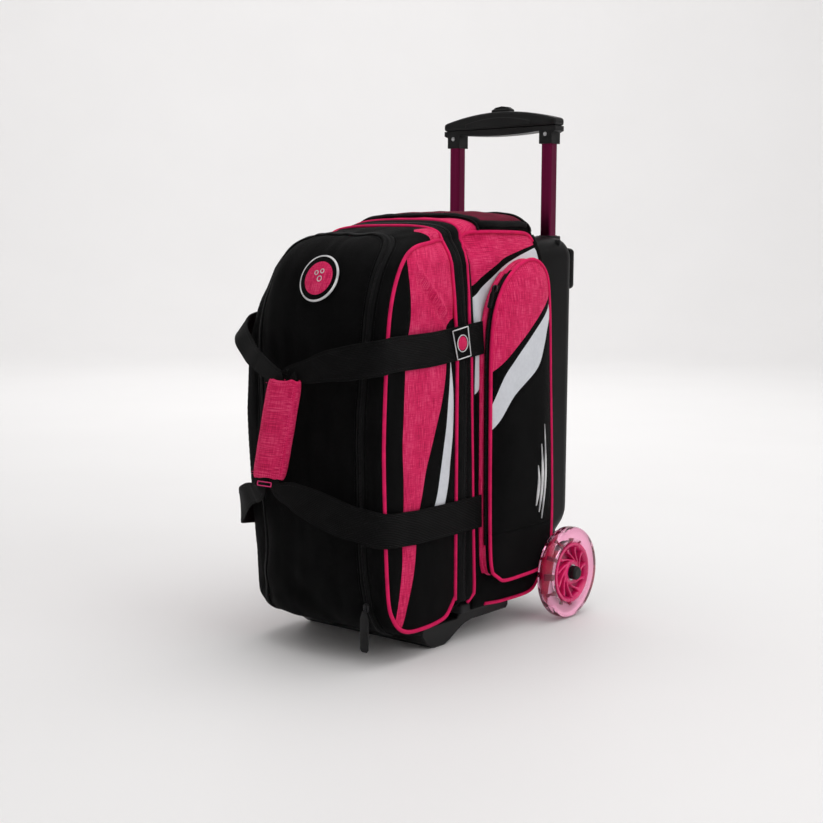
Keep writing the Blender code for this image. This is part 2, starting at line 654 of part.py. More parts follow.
def make_cups(m):
    back = BALL_Y + BALL_RADIUS - 0.0005
    front = REAR_FRONT_Y + 0.0010
    for name, outline, balls in (
        ("foam_cup_lower", [(front, BASE_Z[1] + 0.0006), (0.1300, BASE_Z[1] + 0.0006),
                            (back, 0.1030), (back, 0.1200), (front, 0.1000)], (0,)),
        ("foam_cup_upper", [(front, 0.2600), (back, 0.2600), (back, 0.2980), (front, 0.2980)], (0, 1)),
    ):
        cup = prism(name, outline, 0, -0.1115, 0.1115, m["foam"])
        for ball in balls:
            bm = bmesh.new()
            bmesh.ops.create_uvsphere(bm, u_segments=28, v_segments=16, radius=CUP_RADIUS)
            bmesh.ops.translate(bm, verts=bm.verts, vec=(0, BALL_Y, BALL_Z[ball]))
            boolean(cup, add(f"{name}_ball_{ball}", bm, None))


# ---- front door with the shoe compartment --------------------------------------------------
def door_rows(first, last, per_span=2):
    """Paired side and centre points of the door's outlines between two outline points."""
    side = curve_through(DOOR_SIDE, per_span)
    centre = curve_through(DOOR_CENTRE, per_span)
    return list(zip(side, centre))[round(first * per_span):round(last * per_span) + 1]


def door_grid(rows, angles, half=HALF_WIDTH):
    return [[barrel_point(a, side, centre, 0.5, half) for a in angles] for side, centre in rows]


def make_door(m):
    for sign in (-1, 1):
        rim = [Vector(point) for point in curve_through(DOOR_SIDE[2:], 2)]
        middle = Vector((-0.105, 0.28))
        inset = [tuple(p + (middle - p).normalized() * 0.0060) for p in rim]
        inset += [(DOOR_REAR_Y - 0.0006, 0.5080), (DOOR_REAR_Y - 0.0006, 0.0580)]
        inset = [p for i, p in enumerate(inset) if (Vector(p) - Vector(inset[i - 1])).length > 0.002]
        low, high = sorted((sign * (HALF_WIDTH - CLOTH), sign * HALF_WIDTH))
        prism(f"door_side_{side_name(sign)}", inset, 0, low, high, m["black_cloth"], DOOR_HINGE)

    columns = 14
    angles = across(columns)
    thick_sheet("door_bottom", door_grid(door_rows(0, 4), angles), CLOTH, m["black_cloth"], DOOR_HINGE)

    # the front is a frame round the shoe flap: the flap's cells are left open
    grid = door_grid(door_rows(4, 14), angles)
    grid[0] = [a + (b - a).normalized() * 0.0012 for a, b in zip(grid[0], grid[1])]
    fold = next(i for i, row in enumerate(grid) if row[columns // 2].z > FLAP_HINGE[2])
    crest = next(i for i, row in enumerate(grid) if row[columns // 2].y > FLAP_REAR_Y and i > fold)
    edge = next(j for j, point in enumerate(grid[0]) if point.x > -FLAP_HALF)
    open_cells = {(i, j) for i in range(fold, crest) for j in range(edge, columns - edge)}
    thick_sheet("door_front", grid, CLOTH, m["black_cloth"], DOOR_HINGE, open_cells)
    flap = [row[edge:columns - edge + 1] for row in grid[fold:crest + 1]]
    inset = 0.0025
    for i, row in enumerate(flap):
        row[0] = row[0] + Vector((inset, 0, 0))
        row[-1] = row[-1] - Vector((inset, 0, 0))
    flap[0] = [a + (b - a).normalized() * 0.0015 for a, b in zip(flap[0], flap[1])]
    flap[-1] = [a + (b - a).normalized() * 0.0015 for a, b in zip(flap[-1], flap[-2])]
    thick_sheet("shoe_flap", flap, CLOTH, m["black_cloth"], FLAP_HINGE)

    prism("door_divider", rounded([
        (-0.1140, 0.0600, 0.012), (0.1140, 0.0600, 0.012),
        (0.1140, 0.5080, 0.020), (-0.1140, 0.5080, 0.020),
    ], steps=3), 1, DOOR_REAR_Y + 0.0020, DOOR_REAR_Y + 0.0045, m["foam"], DOOR_HINGE)


# ---- side accessory pockets ----------------------------------------------------------------
def offset_rim(distance):
    """The pocket's rim moved inwards by distance."""
    rim = closed_curve(POCKET_RIM, 2)
    found = []
    for i, point in enumerate(rim):
        ahead = Vector(rim[(i + 1) % len(rim)]) - Vector(rim[i - 1])
        inward = Vector((ahead.y, -ahead.x)).normalized()
        found.append(Vector(point) + inward * distance)
    return found


def ring_wall(name, sign, low, high, mat, origin, face=False):
    """The pocket's side wall as a ring, with a domed face over its outer end if asked."""
    outer, inner = offset_rim(0.0), offset_rim(0.0022)
    count = len(outer)
    bm = bmesh.new()
    rings = [
        [bm.verts.new((sign * x, *p)) for p in points]
        for points, x in ((outer, low), (outer, high), (inner, high - (0.0022 if face else 0)), (inner, low))
    ]
    joins = [(0, 1), (2, 3), (3, 0)] if face else [(0, 1), (1, 2), (2, 3), (3, 0)]
    for a, b in joins:
        for i in range(count):
            j = (i + 1) % count
            bm.faces.new((rings[a][i], rings[a][j], rings[b][j], rings[b][i]))
    if face:
        middle = Vector((sum(p.x for p in outer) / count, sum(p.y for p in outer) / count))
        for start, points, level in ((1, outer, high), (2, inner, high - 0.0022)):
            ring = rings[start]
            for share in (0.85, 0.50):
                rise = POCKET_BULGE * (1 - share**2.6)
                following = []
                for point in points:
                    y, z = middle + (point - middle) * share
                    clear_of_wheel = min(1.0, max(0.0, (z - 0.0900) / 0.1200))
                    following.append(bm.verts.new((sign * (level + rise * clear_of_wheel), y, z)))
                for i in range(count):
                    j = (i + 1) % count
                    bm.faces.new((ring[i], ring[j], following[j], following[i]))
                ring = following
            bm.faces.new(ring)
    return add(name, bm, mat, origin)


def make_pockets(m):
    """A ring and a low pouch sewn to the side, and above the wheel a face that opens like a door."""
    for sign in (-1, 1):
        side = side_name(sign)
        gusset = ring_wall(f"pocket_gusset_{side}", sign, HALF_WIDTH + GAP, POCKET_RIM_X,
                           m["pink_cloth"], (0, 0, 0), face=True)
        near, far = sorted((sign * (POCKET_SPLIT_X - 0.0010), sign * 0.2))
        boolean(gusset, box(f"pocket_above_pouch_{side}", (near, -0.1, POUCH_TOP_Z), (far, 0.3, 0.6)))
        hinge = (sign * (POCKET_SPLIT_X + 0.0002), POCKET_HINGE_Y, 0.28)
        door = ring_wall(f"pocket_door_{side}", sign, POCKET_SPLIT_X, POCKET_RIM_X,
                         m["black_cloth"], hinge, face=True)
        boolean(door, box(f"pocket_below_door_{side}", (sign * 0.15 - 0.05, -0.1, 0.0),
                          (sign * 0.15 + 0.05, 0.3, POUCH_TOP_Z + 0.0015)))


# ---- webbing and zip sliders ----------------------------------------------------------------
def make_carry_loops(m):
    """Each loop runs along its side, folds to half width through the wrap, and runs back below."""
    lean = 0.233
    centre = Vector((-0.0010, WRAP_Y, 0.2880))
    height, width = 0.1220, 0.0500
    upright = Vector((0, 0, 1))
    side_run = ((0.1242, 0.0080), (0.1242, -0.0600), (0.1242, -0.1350), (0.1258, -0.1700),
                (0.1225, -0.1980), (0.0980, -0.2160), (0.0620, -0.2270))
    for sign in (-1, 1):
        upper, lower = 0.387, (0.167 if sign > 0 else 0.160)
        inward = Vector((-sign, 0, 0))
        route = [Vector((sign * x, y, upper)) for x, y in side_run]
        for z, shift, ahead in (
            (upper - 0.0110, 0.0270, 0.0010), (0.3540, 0.0112, 0.0), (centre.z, 0.0112, 0.0),
            (0.2220, 0.0112, 0.0), (lower + 0.0130, 0.0270, 0.0010),
        ):
            route.append(Vector((centre.x + lean * (z - centre.z) + sign * shift, WRAP_Y + ahead, z)))
        route += [Vector((sign * x, y, lower)) for x, y in reversed(side_run)]
        turn = [upright] * 7 + [upright + inward] + [inward] * 3 + [inward - upright] + [-upright] * 7
        widths = [WEB_WIDTH] * 7 + [0.6 * WEB_WIDTH] + [0.0180] * 3 + [0.6 * WEB_WIDTH] + [WEB_WIDTH] * 7
        sizes = [point.x for point in curve_through([(size, 0) for size in widths], 2)]
        anchor = (sign * LOOP_ANCHOR[0], LOOP_ANCHOR[1], LOOP_ANCHOR[2])
        strap(f"carry_loop_{side_name(sign)}", curve_through(route, 2), curve_through(turn, 2), sizes,
              WEB_THICK, m["webbing"], anchor)

    def section(half_wide, half_deep, radius):
        return rounded([
            (-half_wide, -half_deep, radius), (half_wide, -half_deep, radius),
            (half_wide, half_deep, radius), (-half_wide, half_deep, radius),
        ], steps=3)

    outer, inner = section(width / 2, 0.0085, 0.0075), section(width / 2 - 0.0030, 0.0052, 0.0045)
    bm = bmesh.new()
    rings = []
    for points, share in ((outer, -0.5), (outer, 0.5), (inner, 0.5), (inner, -0.5)):
        z = share * height
        rings.append([bm.verts.new(centre + Vector((x + lean * z, y, z))) for x, y in points])
    count = len(outer)
    for a, b in ((0, 1), (1, 2), (2, 3), (3, 0)):
        for i in range(count):
            j = (i + 1) % count
            bm.faces.new((rings[a][i], rings[a][j], rings[b][j], rings[b][i]))
    anchor = (LOOP_ANCHOR[0], LOOP_ANCHOR[1], LOOP_ANCHOR[2])
    add("grip_wrap", bm, m["pink_cloth"], anchor)


def zip_slider(name, tab_name, place, outward, hang, tab_length, m):
    """A slider block on the zip, and its pull, which turns on a pin held just above the block."""
    outward, hang, place = Vector(outward), Vector(hang), Vector(place)
    aside = outward.cross(hang)

    def block(part, low, high, origin):
        """low and high run along (hang, aside, outward) from place."""
        bm = bmesh.new()
        bmesh.ops.create_cube(bm, size=1.0)
        for vert in bm.verts:
            h, a, o = (low[i] + (vert.co[i] + 0.5) * (high[i] - low[i]) for i in range(3))
            vert.co = place + hang * h + aside * a + outward * o
        return add(part, bm, m["steel"], origin, smooth=False)

    body = block(name, (-0.0050, -0.0042, 0.0), (0.0050, 0.0042, SLIDER_HEIGHT), place)
    round_edges(body, 0.0008, 1)
    pin_height = SLIDER_HEIGHT + GAP + PULL_THICK / 2
    pin = place + hang * PULL_PIN + outward * pin_height
    start, half = PULL_PIN + 0.0018, PULL_THICK / 2
    tab = block(tab_name, (start, -0.0030, pin_height - half),
                (start + tab_length, 0.0030, pin_height + half), pin)
    round_edges(tab, 0.0006, 1)


def make_sliders(m):
    zip_slider("shoe_slider", "shoe_slider_pull", SHOE_SLIDER, (0, -1, 0), (0, 0, -1), 0.0500, m)
    zip_slider("main_slider", "main_slider_pull", (MAIN_SLIDER_X, SEAM_Y, TAPE_CROWN_Z + 0.0006),
               (0, 0, 1), (1, 0, 0), 0.0260, m)
    lean = radians(POCKET_SLIDER_LEAN)
    for sign in (-1, 1):
        side = side_name(sign)
        zip_slider(f"pocket_slider_{side}", f"pocket_slider_pull_{side}",
                   (sign * POCKET_SLIDER[0], *POCKET_SLIDER[1:]), (0, -cos(lean), sin(lean)),
                   (0, -sin(lean), -cos(lean)), 0.0240, m)


def main():
    clear_scene()
    m = make_materials()
    make_back(m)
    make_base(m)
    make_running_gear(m)
    make_handle(m)
    make_grip(m)
    make_rear_cloth(m)
    zip_tape("zip_tape_rear", SEAM_Y + 0.0005, REAR_FRONT_Y, m["zip"])
    zip_tape("zip_tape_door", DOOR_REAR_Y, SEAM_Y - 0.0005, m["zip"], DOOR_HINGE)
    make_cups(m)
    make_door(m)
    make_pockets(m)
    make_carry_loops(m)
    make_sliders(m)


main()
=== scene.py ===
"""Looks of the two-ball roller bag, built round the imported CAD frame.

Frame: X to the bag's right seen from its front, -Y out of the front, +Z up. Lengths are in metres.
"""
from math import acos, atan2, cos, exp, pi, radians, sin, sqrt

import bmesh
import bpy
from mathutils import Matrix, Vector, geometry, kdtree, noise


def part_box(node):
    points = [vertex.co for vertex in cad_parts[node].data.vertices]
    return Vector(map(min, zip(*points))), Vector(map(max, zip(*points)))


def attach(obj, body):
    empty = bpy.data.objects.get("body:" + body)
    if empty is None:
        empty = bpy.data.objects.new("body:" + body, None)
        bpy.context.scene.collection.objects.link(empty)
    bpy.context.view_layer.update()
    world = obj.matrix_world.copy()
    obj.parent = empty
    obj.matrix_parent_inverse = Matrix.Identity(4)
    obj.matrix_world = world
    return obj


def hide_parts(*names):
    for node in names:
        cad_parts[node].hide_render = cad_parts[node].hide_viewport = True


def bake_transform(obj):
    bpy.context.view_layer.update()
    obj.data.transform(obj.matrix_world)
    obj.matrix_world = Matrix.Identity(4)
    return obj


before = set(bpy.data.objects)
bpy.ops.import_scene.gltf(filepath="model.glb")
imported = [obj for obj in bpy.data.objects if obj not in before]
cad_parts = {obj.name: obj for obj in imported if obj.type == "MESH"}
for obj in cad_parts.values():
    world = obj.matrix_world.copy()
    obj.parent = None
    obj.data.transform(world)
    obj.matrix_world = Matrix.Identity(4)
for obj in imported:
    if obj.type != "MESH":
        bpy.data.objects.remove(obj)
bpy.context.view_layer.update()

UP, FRONT, RIGHT = Vector((0, 0, 1)), Vector((0, -1, 0)), Vector((1, 0, 0))
SIDES = (("left", -1), ("right", 1))

# ---- places taken from the frame -----------------------------------------------------------
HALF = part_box("door_side_right")[1].x              # cloth body, centre to side
SEAM_Y = (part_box("zip_tape_door")[1].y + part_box("zip_tape_rear")[0].y) / 2
BAND_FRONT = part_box("zip_tape_door")[0].y
BAND_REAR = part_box("zip_tape_rear")[1].y
BAND_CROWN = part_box("zip_tape_rear")[1].z
SHELL_LOW, SHELL_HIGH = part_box("back_shell")
TUBE_LOW, TUBE_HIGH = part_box("inner_tube_right")
TUBE_X = (TUBE_LOW.x + TUBE_HIGH.x) / 2
TUBE_Y = (TUBE_LOW.y + TUBE_HIGH.y) / 2
WHEEL_LOW, WHEEL_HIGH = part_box("wheel_tyre_right")
WHEEL = (WHEEL_LOW + WHEEL_HIGH) / 2
WHEEL_RADIUS = (WHEEL_HIGH.z - WHEEL_LOW.z) / 2
CORE_RADIUS = (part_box("wheel_core_right")[1].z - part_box("wheel_core_right")[0].z) / 2
POUCH_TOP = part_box("pocket_door_right")[0].z
RIM_X = HALF + 0.0155                              # where the pocket's face meets its wall

# The cloth's own outlines in (y, z), the same lines that the CAD door and pocket are built on.
DOOR_SIDE = (
    (-0.0245, 0.060), (-0.045, 0.052), (-0.072, 0.038), (-0.105, 0.036), (-0.142, 0.039),
    (-0.165, 0.058), (-0.176, 0.097), (-0.183, 0.230), (-0.183, 0.300), (-0.177, 0.400),
    (-0.168, 0.450), (-0.150, 0.488), (-0.125, 0.507), (-0.078, 0.514), (-0.0421, 0.516),
)
DOOR_CENTRE = (
    (-0.0245, 0.050), (-0.045, 0.042), (-0.072, 0.034), (-0.110, 0.0325), (-0.150, 0.034),
    (-0.183, 0.052), (-0.195, 0.097), (-0.199, 0.230), (-0.199, 0.300), (-0.197, 0.405),
    (-0.188, 0.457), (-0.169, 0.495), (-0.138, 0.518), (-0.085, 0.529), (-0.0421, 0.5335),
)
POCKET_RIM = (
    (0.019, 0.086), (0.012, 0.140), (0.010, 0.300), (0.012, 0.400), (0.031, 0.452), (0.066, 0.483),
    (0.104, 0.4925), (0.133, 0.474), (0.142, 0.430), (0.147, 0.330), (0.152, 0.236), (0.155, 0.140),
    (0.150, 0.095), (0.131, 0.076), (0.085, 0.072), (0.040, 0.073),
)


# ---- curves --------------------------------------------------------------------------------
def smooth(points, per_span=6):
    """An open Catmull-Rom curve through the points."""
    points = [Vector(point) for point in points]
    ends = [2 * points[0] - points[1], *points, 2 * points[-1] - points[-2]]
    found = []
    for a, b, c, d in zip(ends, ends[1:], ends[2:], ends[3:]):
        for step in range(per_span):
            t = step / per_span
            found.append(0.5 * (2 * b + (c - a) * t + (2 * a - 5 * b + 4 * c - d) * t**2
                                + (3 * b - a - 3 * c + d) * t**3))
    return [*found, points[-1]]


def smooth_loop(points, per_span=6):
    ring = [points[-1], *points, points[0], points[1]]
    return smooth(ring, per_span)[per_span:-2 * per_span]


def spaced(points, spacing, closed=False):
    """The same line with points at an even spacing."""
    points = [Vector(point) for point in points]
    if closed:
        points.append(points[0])
    lengths = [0.0]
    for a, b in zip(points, points[1:]):
        lengths.append(lengths[-1] + (b - a).length)
    count = max(2, round(lengths[-1] / spacing))
    found, i = [], 0
    for step in range(count + 1):
        want = lengths[-1] * step / count
        while i < len(points) - 2 and lengths[i + 1] < want:
            i += 1
        share = (want - lengths[i]) / max(lengths[i + 1] - lengths[i], 1e-9)
        found.append(points[i].lerp(points[i + 1], share))
    return found[:-1] if closed else found


def inside(loop, point):
    """Whether a 2D point is inside a closed loop."""
    hit = False
    for a, b in zip(loop, [*loop[1:], loop[0]]):
        if (a[1] > point[1]) != (b[1] > point[1]):
            if point[0] < (b[0] - a[0]) * (point[1] - a[1]) / (b[1] - a[1]) + a[0]:
                hit = not hit
    return hit


def nearness(points):
    tree = kdtree.KDTree(max(1, len(points)))
    for i, point in enumerate(points):
        tree.insert((point[0], point[1], 0.0), i)
    tree.balance()
    return tree


def ease(low, high, value):
    t = min(1.0, max(0.0, (value - low) / (high - low)))
    return t * t * (3 - 2 * t)


# ---- materials -----------------------------------------------------------------------------
def put(tree, kind, values=(), **settings):
    """Adds a node, sets its settings, and gives its inputs a value or a link."""
    made = tree.nodes.new("ShaderNode" + kind)
    for key, value in settings.items():
        setattr(made, key, value)
    for key, value in dict(values).items():
        if isinstance(value, bpy.types.NodeSocket):
            tree.links.new(value, made.inputs[key])
        else:
            made.inputs[key].default_value = value
    return made


def shading(name, roughness, metallic=0.0, **sockets):
    mat = bpy.data.materials.new(name)
    mat.use_nodes = True
    shader = mat.node_tree.nodes["Principled BSDF"]
    shader.inputs["Roughness"].default_value = roughness
    shader.inputs["Metallic"].default_value = metallic
    for key, value in sockets.items():
        shader.inputs[key.replace("_", " ")].default_value = value
    return mat, mat.node_tree, shader


def math_node(tree, operation, a, b=0.0):
    return put(tree, "Math", {0: a, 1: b}, operation=operation).outputs[0]


def surface(tree, on_cloth):
    """Cloth pieces carry a UV map in metres; other pieces use the object's own frame."""
    if on_cloth:
        return put(tree, "UVMap", uv_map="cloth").outputs["UV"]
    return put(tree, "TexCoord").outputs["Object"]


def grain(tree, where, scale, detail=3.0, stretch=(1, 1, 1)):
    scaled = put(tree, "Mapping", {"Vector": where, "Scale": stretch}).outputs[0]
    return put(tree, "TexNoise", {"Vector": scaled, "Scale": scale, "Detail": detail}).outputs["Fac"]


def ramp(tree, factor, stops):
    made = put(tree, "ValToRGB", {"Fac": factor})
    made.color_ramp.elements.remove(made.color_ramp.elements[1])
    for i, (place, colour) in enumerate(stops):
        stop = made.color_ramp.elements[0] if i == 0 else made.color_ramp.elements.new(place)
        stop.position = place
        stop.color = (*colour, 1)
    return made.outputs["Color"]


def bump(tree, shader, height, strength, distance):
    made = put(tree, "Bump", {"Height": height, "Strength": strength, "Distance": distance})
    tree.links.new(made.outputs[0], shader.inputs["Normal"])


def weave(tree, where, pitch, ratio=1.0):
    """The height of a plain weave."""
    parts = put(tree, "SeparateXYZ", {0: where}).outputs
    waves = []
    for part, size in ((parts[0], pitch), (parts[1], pitch * ratio)):
        turns = math_node(tree, "MULTIPLY", part, 2 * pi / size)
        waves.append(math_node(tree, "SINE", turns))
    return math_node(tree, "MULTIPLY", waves[0], waves[1])


def woven(name, dark, light, pitch, roughness=0.82, depth=0.00025, patch=30.0, ratio=1.0, sheen=0.25):
    """Plain woven cloth with a little unevenness of colour."""
    mat, tree, shader = shading(name, roughness, Sheen_Weight=sheen, Sheen_Roughness=0.5,
                                Specular_IOR_Level=0.03)
    where = surface(tree, True)
    height = weave(tree, where, pitch, ratio)
    uneven = grain(tree, where, patch)
    fine = grain(tree, where, 1.0, 2.0, (1 / (pitch * 6), 1 / (pitch * 6), 1))
    mixed = math_node(tree, "ADD", math_node(tree, "MULTIPLY", uneven, 0.6),
                      math_node(tree, "MULTIPLY", fine, 0.4))
    tree.links.new(ramp(tree, mixed, ((0.35, dark), (0.65, light))), shader.inputs["Base Color"])
    bump(tree, shader, math_node(tree, "ADD", math_node(tree, "MULTIPLY", height, 0.5), uneven),
         0.6, depth)
    return mat


def heather(name, shades):
    """Two-tone cloth: long slubs up the cloth, finer threads across it, and a soft mottle."""
    mat, tree, shader = shading(name, 0.85, Sheen_Weight=0.03, Sheen_Roughness=0.5,
                                Specular_IOR_Level=0.15)
    where = surface(tree, True)
    slub = grain(tree, where, 1.0, 3.0, (1100, 55, 1))
    cross = grain(tree, where, 1.0, 3.0, (70, 1300, 1))
    mottle = grain(tree, where, 38.0, 3.0)
    mixed = math_node(tree, "MULTIPLY", slub, 0.50)
    mixed = math_node(tree, "ADD", mixed, math_node(tree, "MULTIPLY", cross, 0.30))
    mixed = math_node(tree, "ADD", mixed, math_node(tree, "MULTIPLY", mottle, 0.20))
    tree.links.new(ramp(tree, mixed, ((0.36, shades[0]), (0.50, shades[1]), (0.64, shades[2]))),
                   shader.inputs["Base Color"])
    height = math_node(tree, "ADD", weave(tree, where, 0.0008), math_node(tree, "MULTIPLY", slub, 2.0))
    bump(tree, shader, height, 0.5, 0.00020)
    return mat


def ribbed(name, colour, pitch, depth, roughness=0.7, across=True, lift=1.0):
    """Webbing or thread: close ribs one way, with a fine twist along each rib."""
    mat, tree, shader = shading(name, roughness, Sheen_Weight=0.02, Sheen_Roughness=0.4,
                                Specular_IOR_Level=0.08)
    where = surface(tree, True)
    parts = put(tree, "SeparateXYZ", {0: where}).outputs
    first, second = (parts[0], parts[1]) if across else (parts[1], parts[0])
    rib = math_node(tree, "SINE", math_node(tree, "MULTIPLY", first, 2 * pi / pitch))
    twist = math_node(tree, "SINE", math_node(tree, "MULTIPLY", second, 2 * pi / (pitch * 0.7)))
    height = math_node(tree, "ADD", rib, math_node(tree, "MULTIPLY", twist, 0.35))
    worn = grain(tree, where, 45.0)
    light = tuple(min(1.0, part * 1.9 * lift) for part in colour)
    tree.links.new(ramp(tree, worn, ((0.35, colour), (0.70, light))), shader.inputs["Base Color"])
    bump(tree, shader, height, 0.7, depth)
    return mat


def moulded(name, colour, roughness, scale, depth, scuff=0.08, **more):
    """Moulded plastic or rubber: a fine grain, with scuffs that change its gloss."""
    mat, tree, shader = shading(name, roughness, **more)
    where = surface(tree, False)
    fine = grain(tree, where, scale, 4.0)
    worn = grain(tree, where, 24.0, 5.0)
    light = tuple(min(1.0, part * 1.5 + 0.001) for part in colour)
    tree.links.new(ramp(tree, worn, ((0.40, colour), (0.75, light))), shader.inputs["Base Color"])
    rough = math_node(tree, "ADD", math_node(tree, "MULTIPLY", worn, 2 * scuff), roughness - scuff)
    tree.links.new(rough, shader.inputs["Roughness"])
    bump(tree, shader, fine, 0.5, depth)
    return mat


def drawn_metal(name, colour, roughness, stretch):
    """Metal with fine lines along the way it was drawn or brushed."""
    mat, tree, shader = shading(name, roughness, 1.0)
    where = surface(tree, False)
    lines = grain(tree, where, 1.0, 3.0, stretch)
    shades = tuple(part * 0.75 for part in colour), tuple(min(1.0, part * 1.25) for part in colour)
    tree.links.new(ramp(tree, lines, ((0.3, shades[0]), (0.7, shades[1]))), shader.inputs["Base Color"])
    rough = math_node(tree, "ADD", math_node(tree, "MULTIPLY", lines, 0.16), roughness - 0.08)
    tree.links.new(rough, shader.inputs["Roughness"])
    bump(tree, shader, lines, 0.15, 0.00005)
    return mat


def net_cloth(name):
    """Black net over a pink backing, with rows of small holes."""
    mat, tree, shader = shading(name, 0.85, Specular_IOR_Level=0.06)
    where = surface(tree, True)
    turned = put(tree, "Mapping", {"Vector": where, "Rotation": (0, 0, radians(45))}).outputs[0]
    holes = weave(tree, turned, 0.0050)
    size = math_node(tree, "ABSOLUTE", holes)
    mask = math_node(tree, "GREATER_THAN", size, 0.50)
    uneven = grain(tree, where, 60.0)
    backing = ramp(tree, uneven, ((0.3, (0.24, 0.008, 0.036)), (0.7, (0.42, 0.022, 0.080))))
    mixed = put(tree, "Mix", {0: mask, 6: (0.012, 0.011, 0.012, 1), 7: backing}, data_type="RGBA")
    tree.links.new(mixed.outputs[2], shader.inputs["Base Color"])
    bump(tree, shader, math_node(tree, "SUBTRACT", 1.0, size), 0.8, 0.0006)
    return mat


def clear_plastic(name, colour):
    mat, tree, shader = shading(name, 0.06, IOR=1.46, Transmission_Weight=1.0)
    where = surface(tree, False)
    cloudy = grain(tree, where, 30.0)
    light = tuple(min(1.0, part * 1.04) for part in colour)
    tree.links.new(ramp(tree, cloudy, ((0.3, colour), (0.7, light))), shader.inputs["Base Color"])
    bump(tree, shader, cloudy, 0.1, 0.0004)
    return mat


BLACK = (0.0034, 0.0034, 0.0036)
M = {
    "black": woven("black nylon cloth", (0.0019, 0.0019, 0.0020), (0.0038, 0.0038, 0.0040), 0.0009, 0.74, sheen=0.012),
    "lining": woven("black lining", (0.006, 0.006, 0.007), (0.012, 0.012, 0.013), 0.0006, sheen=0.05),
    "pink": heather("pink heather cloth", ((0.40, 0.004, 0.050), (0.70, 0.013, 0.108), (0.84, 0.085, 0.215))),
    "white": woven("white coated cloth", (0.60, 0.62, 0.66), (0.68, 0.70, 0.74), 0.0007, 0.5, 0.0001, sheen=0.0),
    "net": net_cloth("black net over pink"),
    "piping": ribbed("pink piping", (0.60, 0.012, 0.095), 0.0012, 0.00015, 0.75, False, 0.75),
    "binding": ribbed("black binding", BLACK, 0.0012, 0.0002, 0.75, False),
    "webbing": ribbed("black webbing", (0.0020, 0.0020, 0.0021), 0.0021, 0.00035),
    "tape": ribbed("black zip tape", (0.0026, 0.0026, 0.0028), 0.0010, 0.00015, 0.8, False),
    "coil": moulded("black nylon coil", (0.0040, 0.0040, 0.0044), 0.45, 900, 0.00005, Specular_IOR_Level=0.20),
    "white_thread": ribbed("white thread", (0.55, 0.55, 0.57), 0.0007, 0.00015, 0.55, False),
    "pink_thread": ribbed("pink thread", (0.78, 0.05, 0.20), 0.0007, 0.00015, 0.55, False, 0.7),
    "black_thread": ribbed("black thread", (0.006, 0.006, 0.0065), 0.0007, 0.00015, 0.5, False),
    "shell": moulded("black moulded back", (0.0022, 0.0022, 0.0023), 0.44, 700, 0.00008, 0.06, Specular_IOR_Level=0.08),
    "plastic": moulded("black moulded plastic", (0.0050, 0.0050, 0.0052), 0.42, 900, 0.00006, 0.08, Specular_IOR_Level=0.22),
    "foam": moulded("grey foam", (0.030, 0.030, 0.031), 0.95, 420, 0.0006, 0.02),
    "board": moulded("black board", (0.008, 0.008, 0.009), 0.8, 500, 0.0002, 0.05),
    "tube": drawn_metal("plum anodised aluminium", (0.150, 0.0100, 0.048), 0.30, (900, 900, 5)),
    "raw_tube": drawn_metal("bare aluminium", (0.60, 0.60, 0.62), 0.32, (900, 900, 5)),
    "steel": drawn_metal("steel", (0.50, 0.50, 0.51), 0.30, (60, 900, 900)),
    "gunmetal": drawn_metal("black plated zip metal", (0.035, 0.035, 0.037), 0.34, (400, 400, 400)),
    # The tyre's pink tint is painted: it stands in for the pink core's colour seen through the clear tyre.
    "tyre": clear_plastic("clear tyre with painted core pink", (0.96, 0.42, 0.62)),
    "core": moulded("pink wheel core", (0.62, 0.012, 0.13), 0.28, 500, 0.00004, 0.04),
    "module": moulded("light module", (0.30, 0.006, 0.070), 0.35, 500, 0.00005),
}


# ---- mesh making ---------------------------------------------------------------------------
def link(name, bm, uses, sharp=50):
    """Makes an object of a bmesh in world coordinates. uses names its materials, in order."""
    mesh = bpy.data.meshes.new(name)
    bm.to_mesh(mesh)
    bm.free()
    for use in uses:
        mesh.materials.append(M[use])
    mesh.shade_smooth()
    mesh.set_sharp_from_angle(angle=radians(sharp))
    obj = bpy.data.objects.new(name, mesh)
    bpy.context.scene.collection.objects.link(obj)
    return obj


def applied(obj):
    """Replaces the object's mesh by what its modifiers make of it."""
    graph = bpy.context.evaluated_depsgraph_get()
    mesh = bpy.data.meshes.new_from_object(obj.evaluated_get(graph), depsgraph=graph)
    obj.modifiers.clear()
    obj.data = mesh
    return obj


def place(obj, body, use, *nodes):
    """Puts a finished piece on its body and hides the CAD nodes that it stands for."""
    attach(obj, body)
    if nodes:
        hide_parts(*nodes)
    return obj


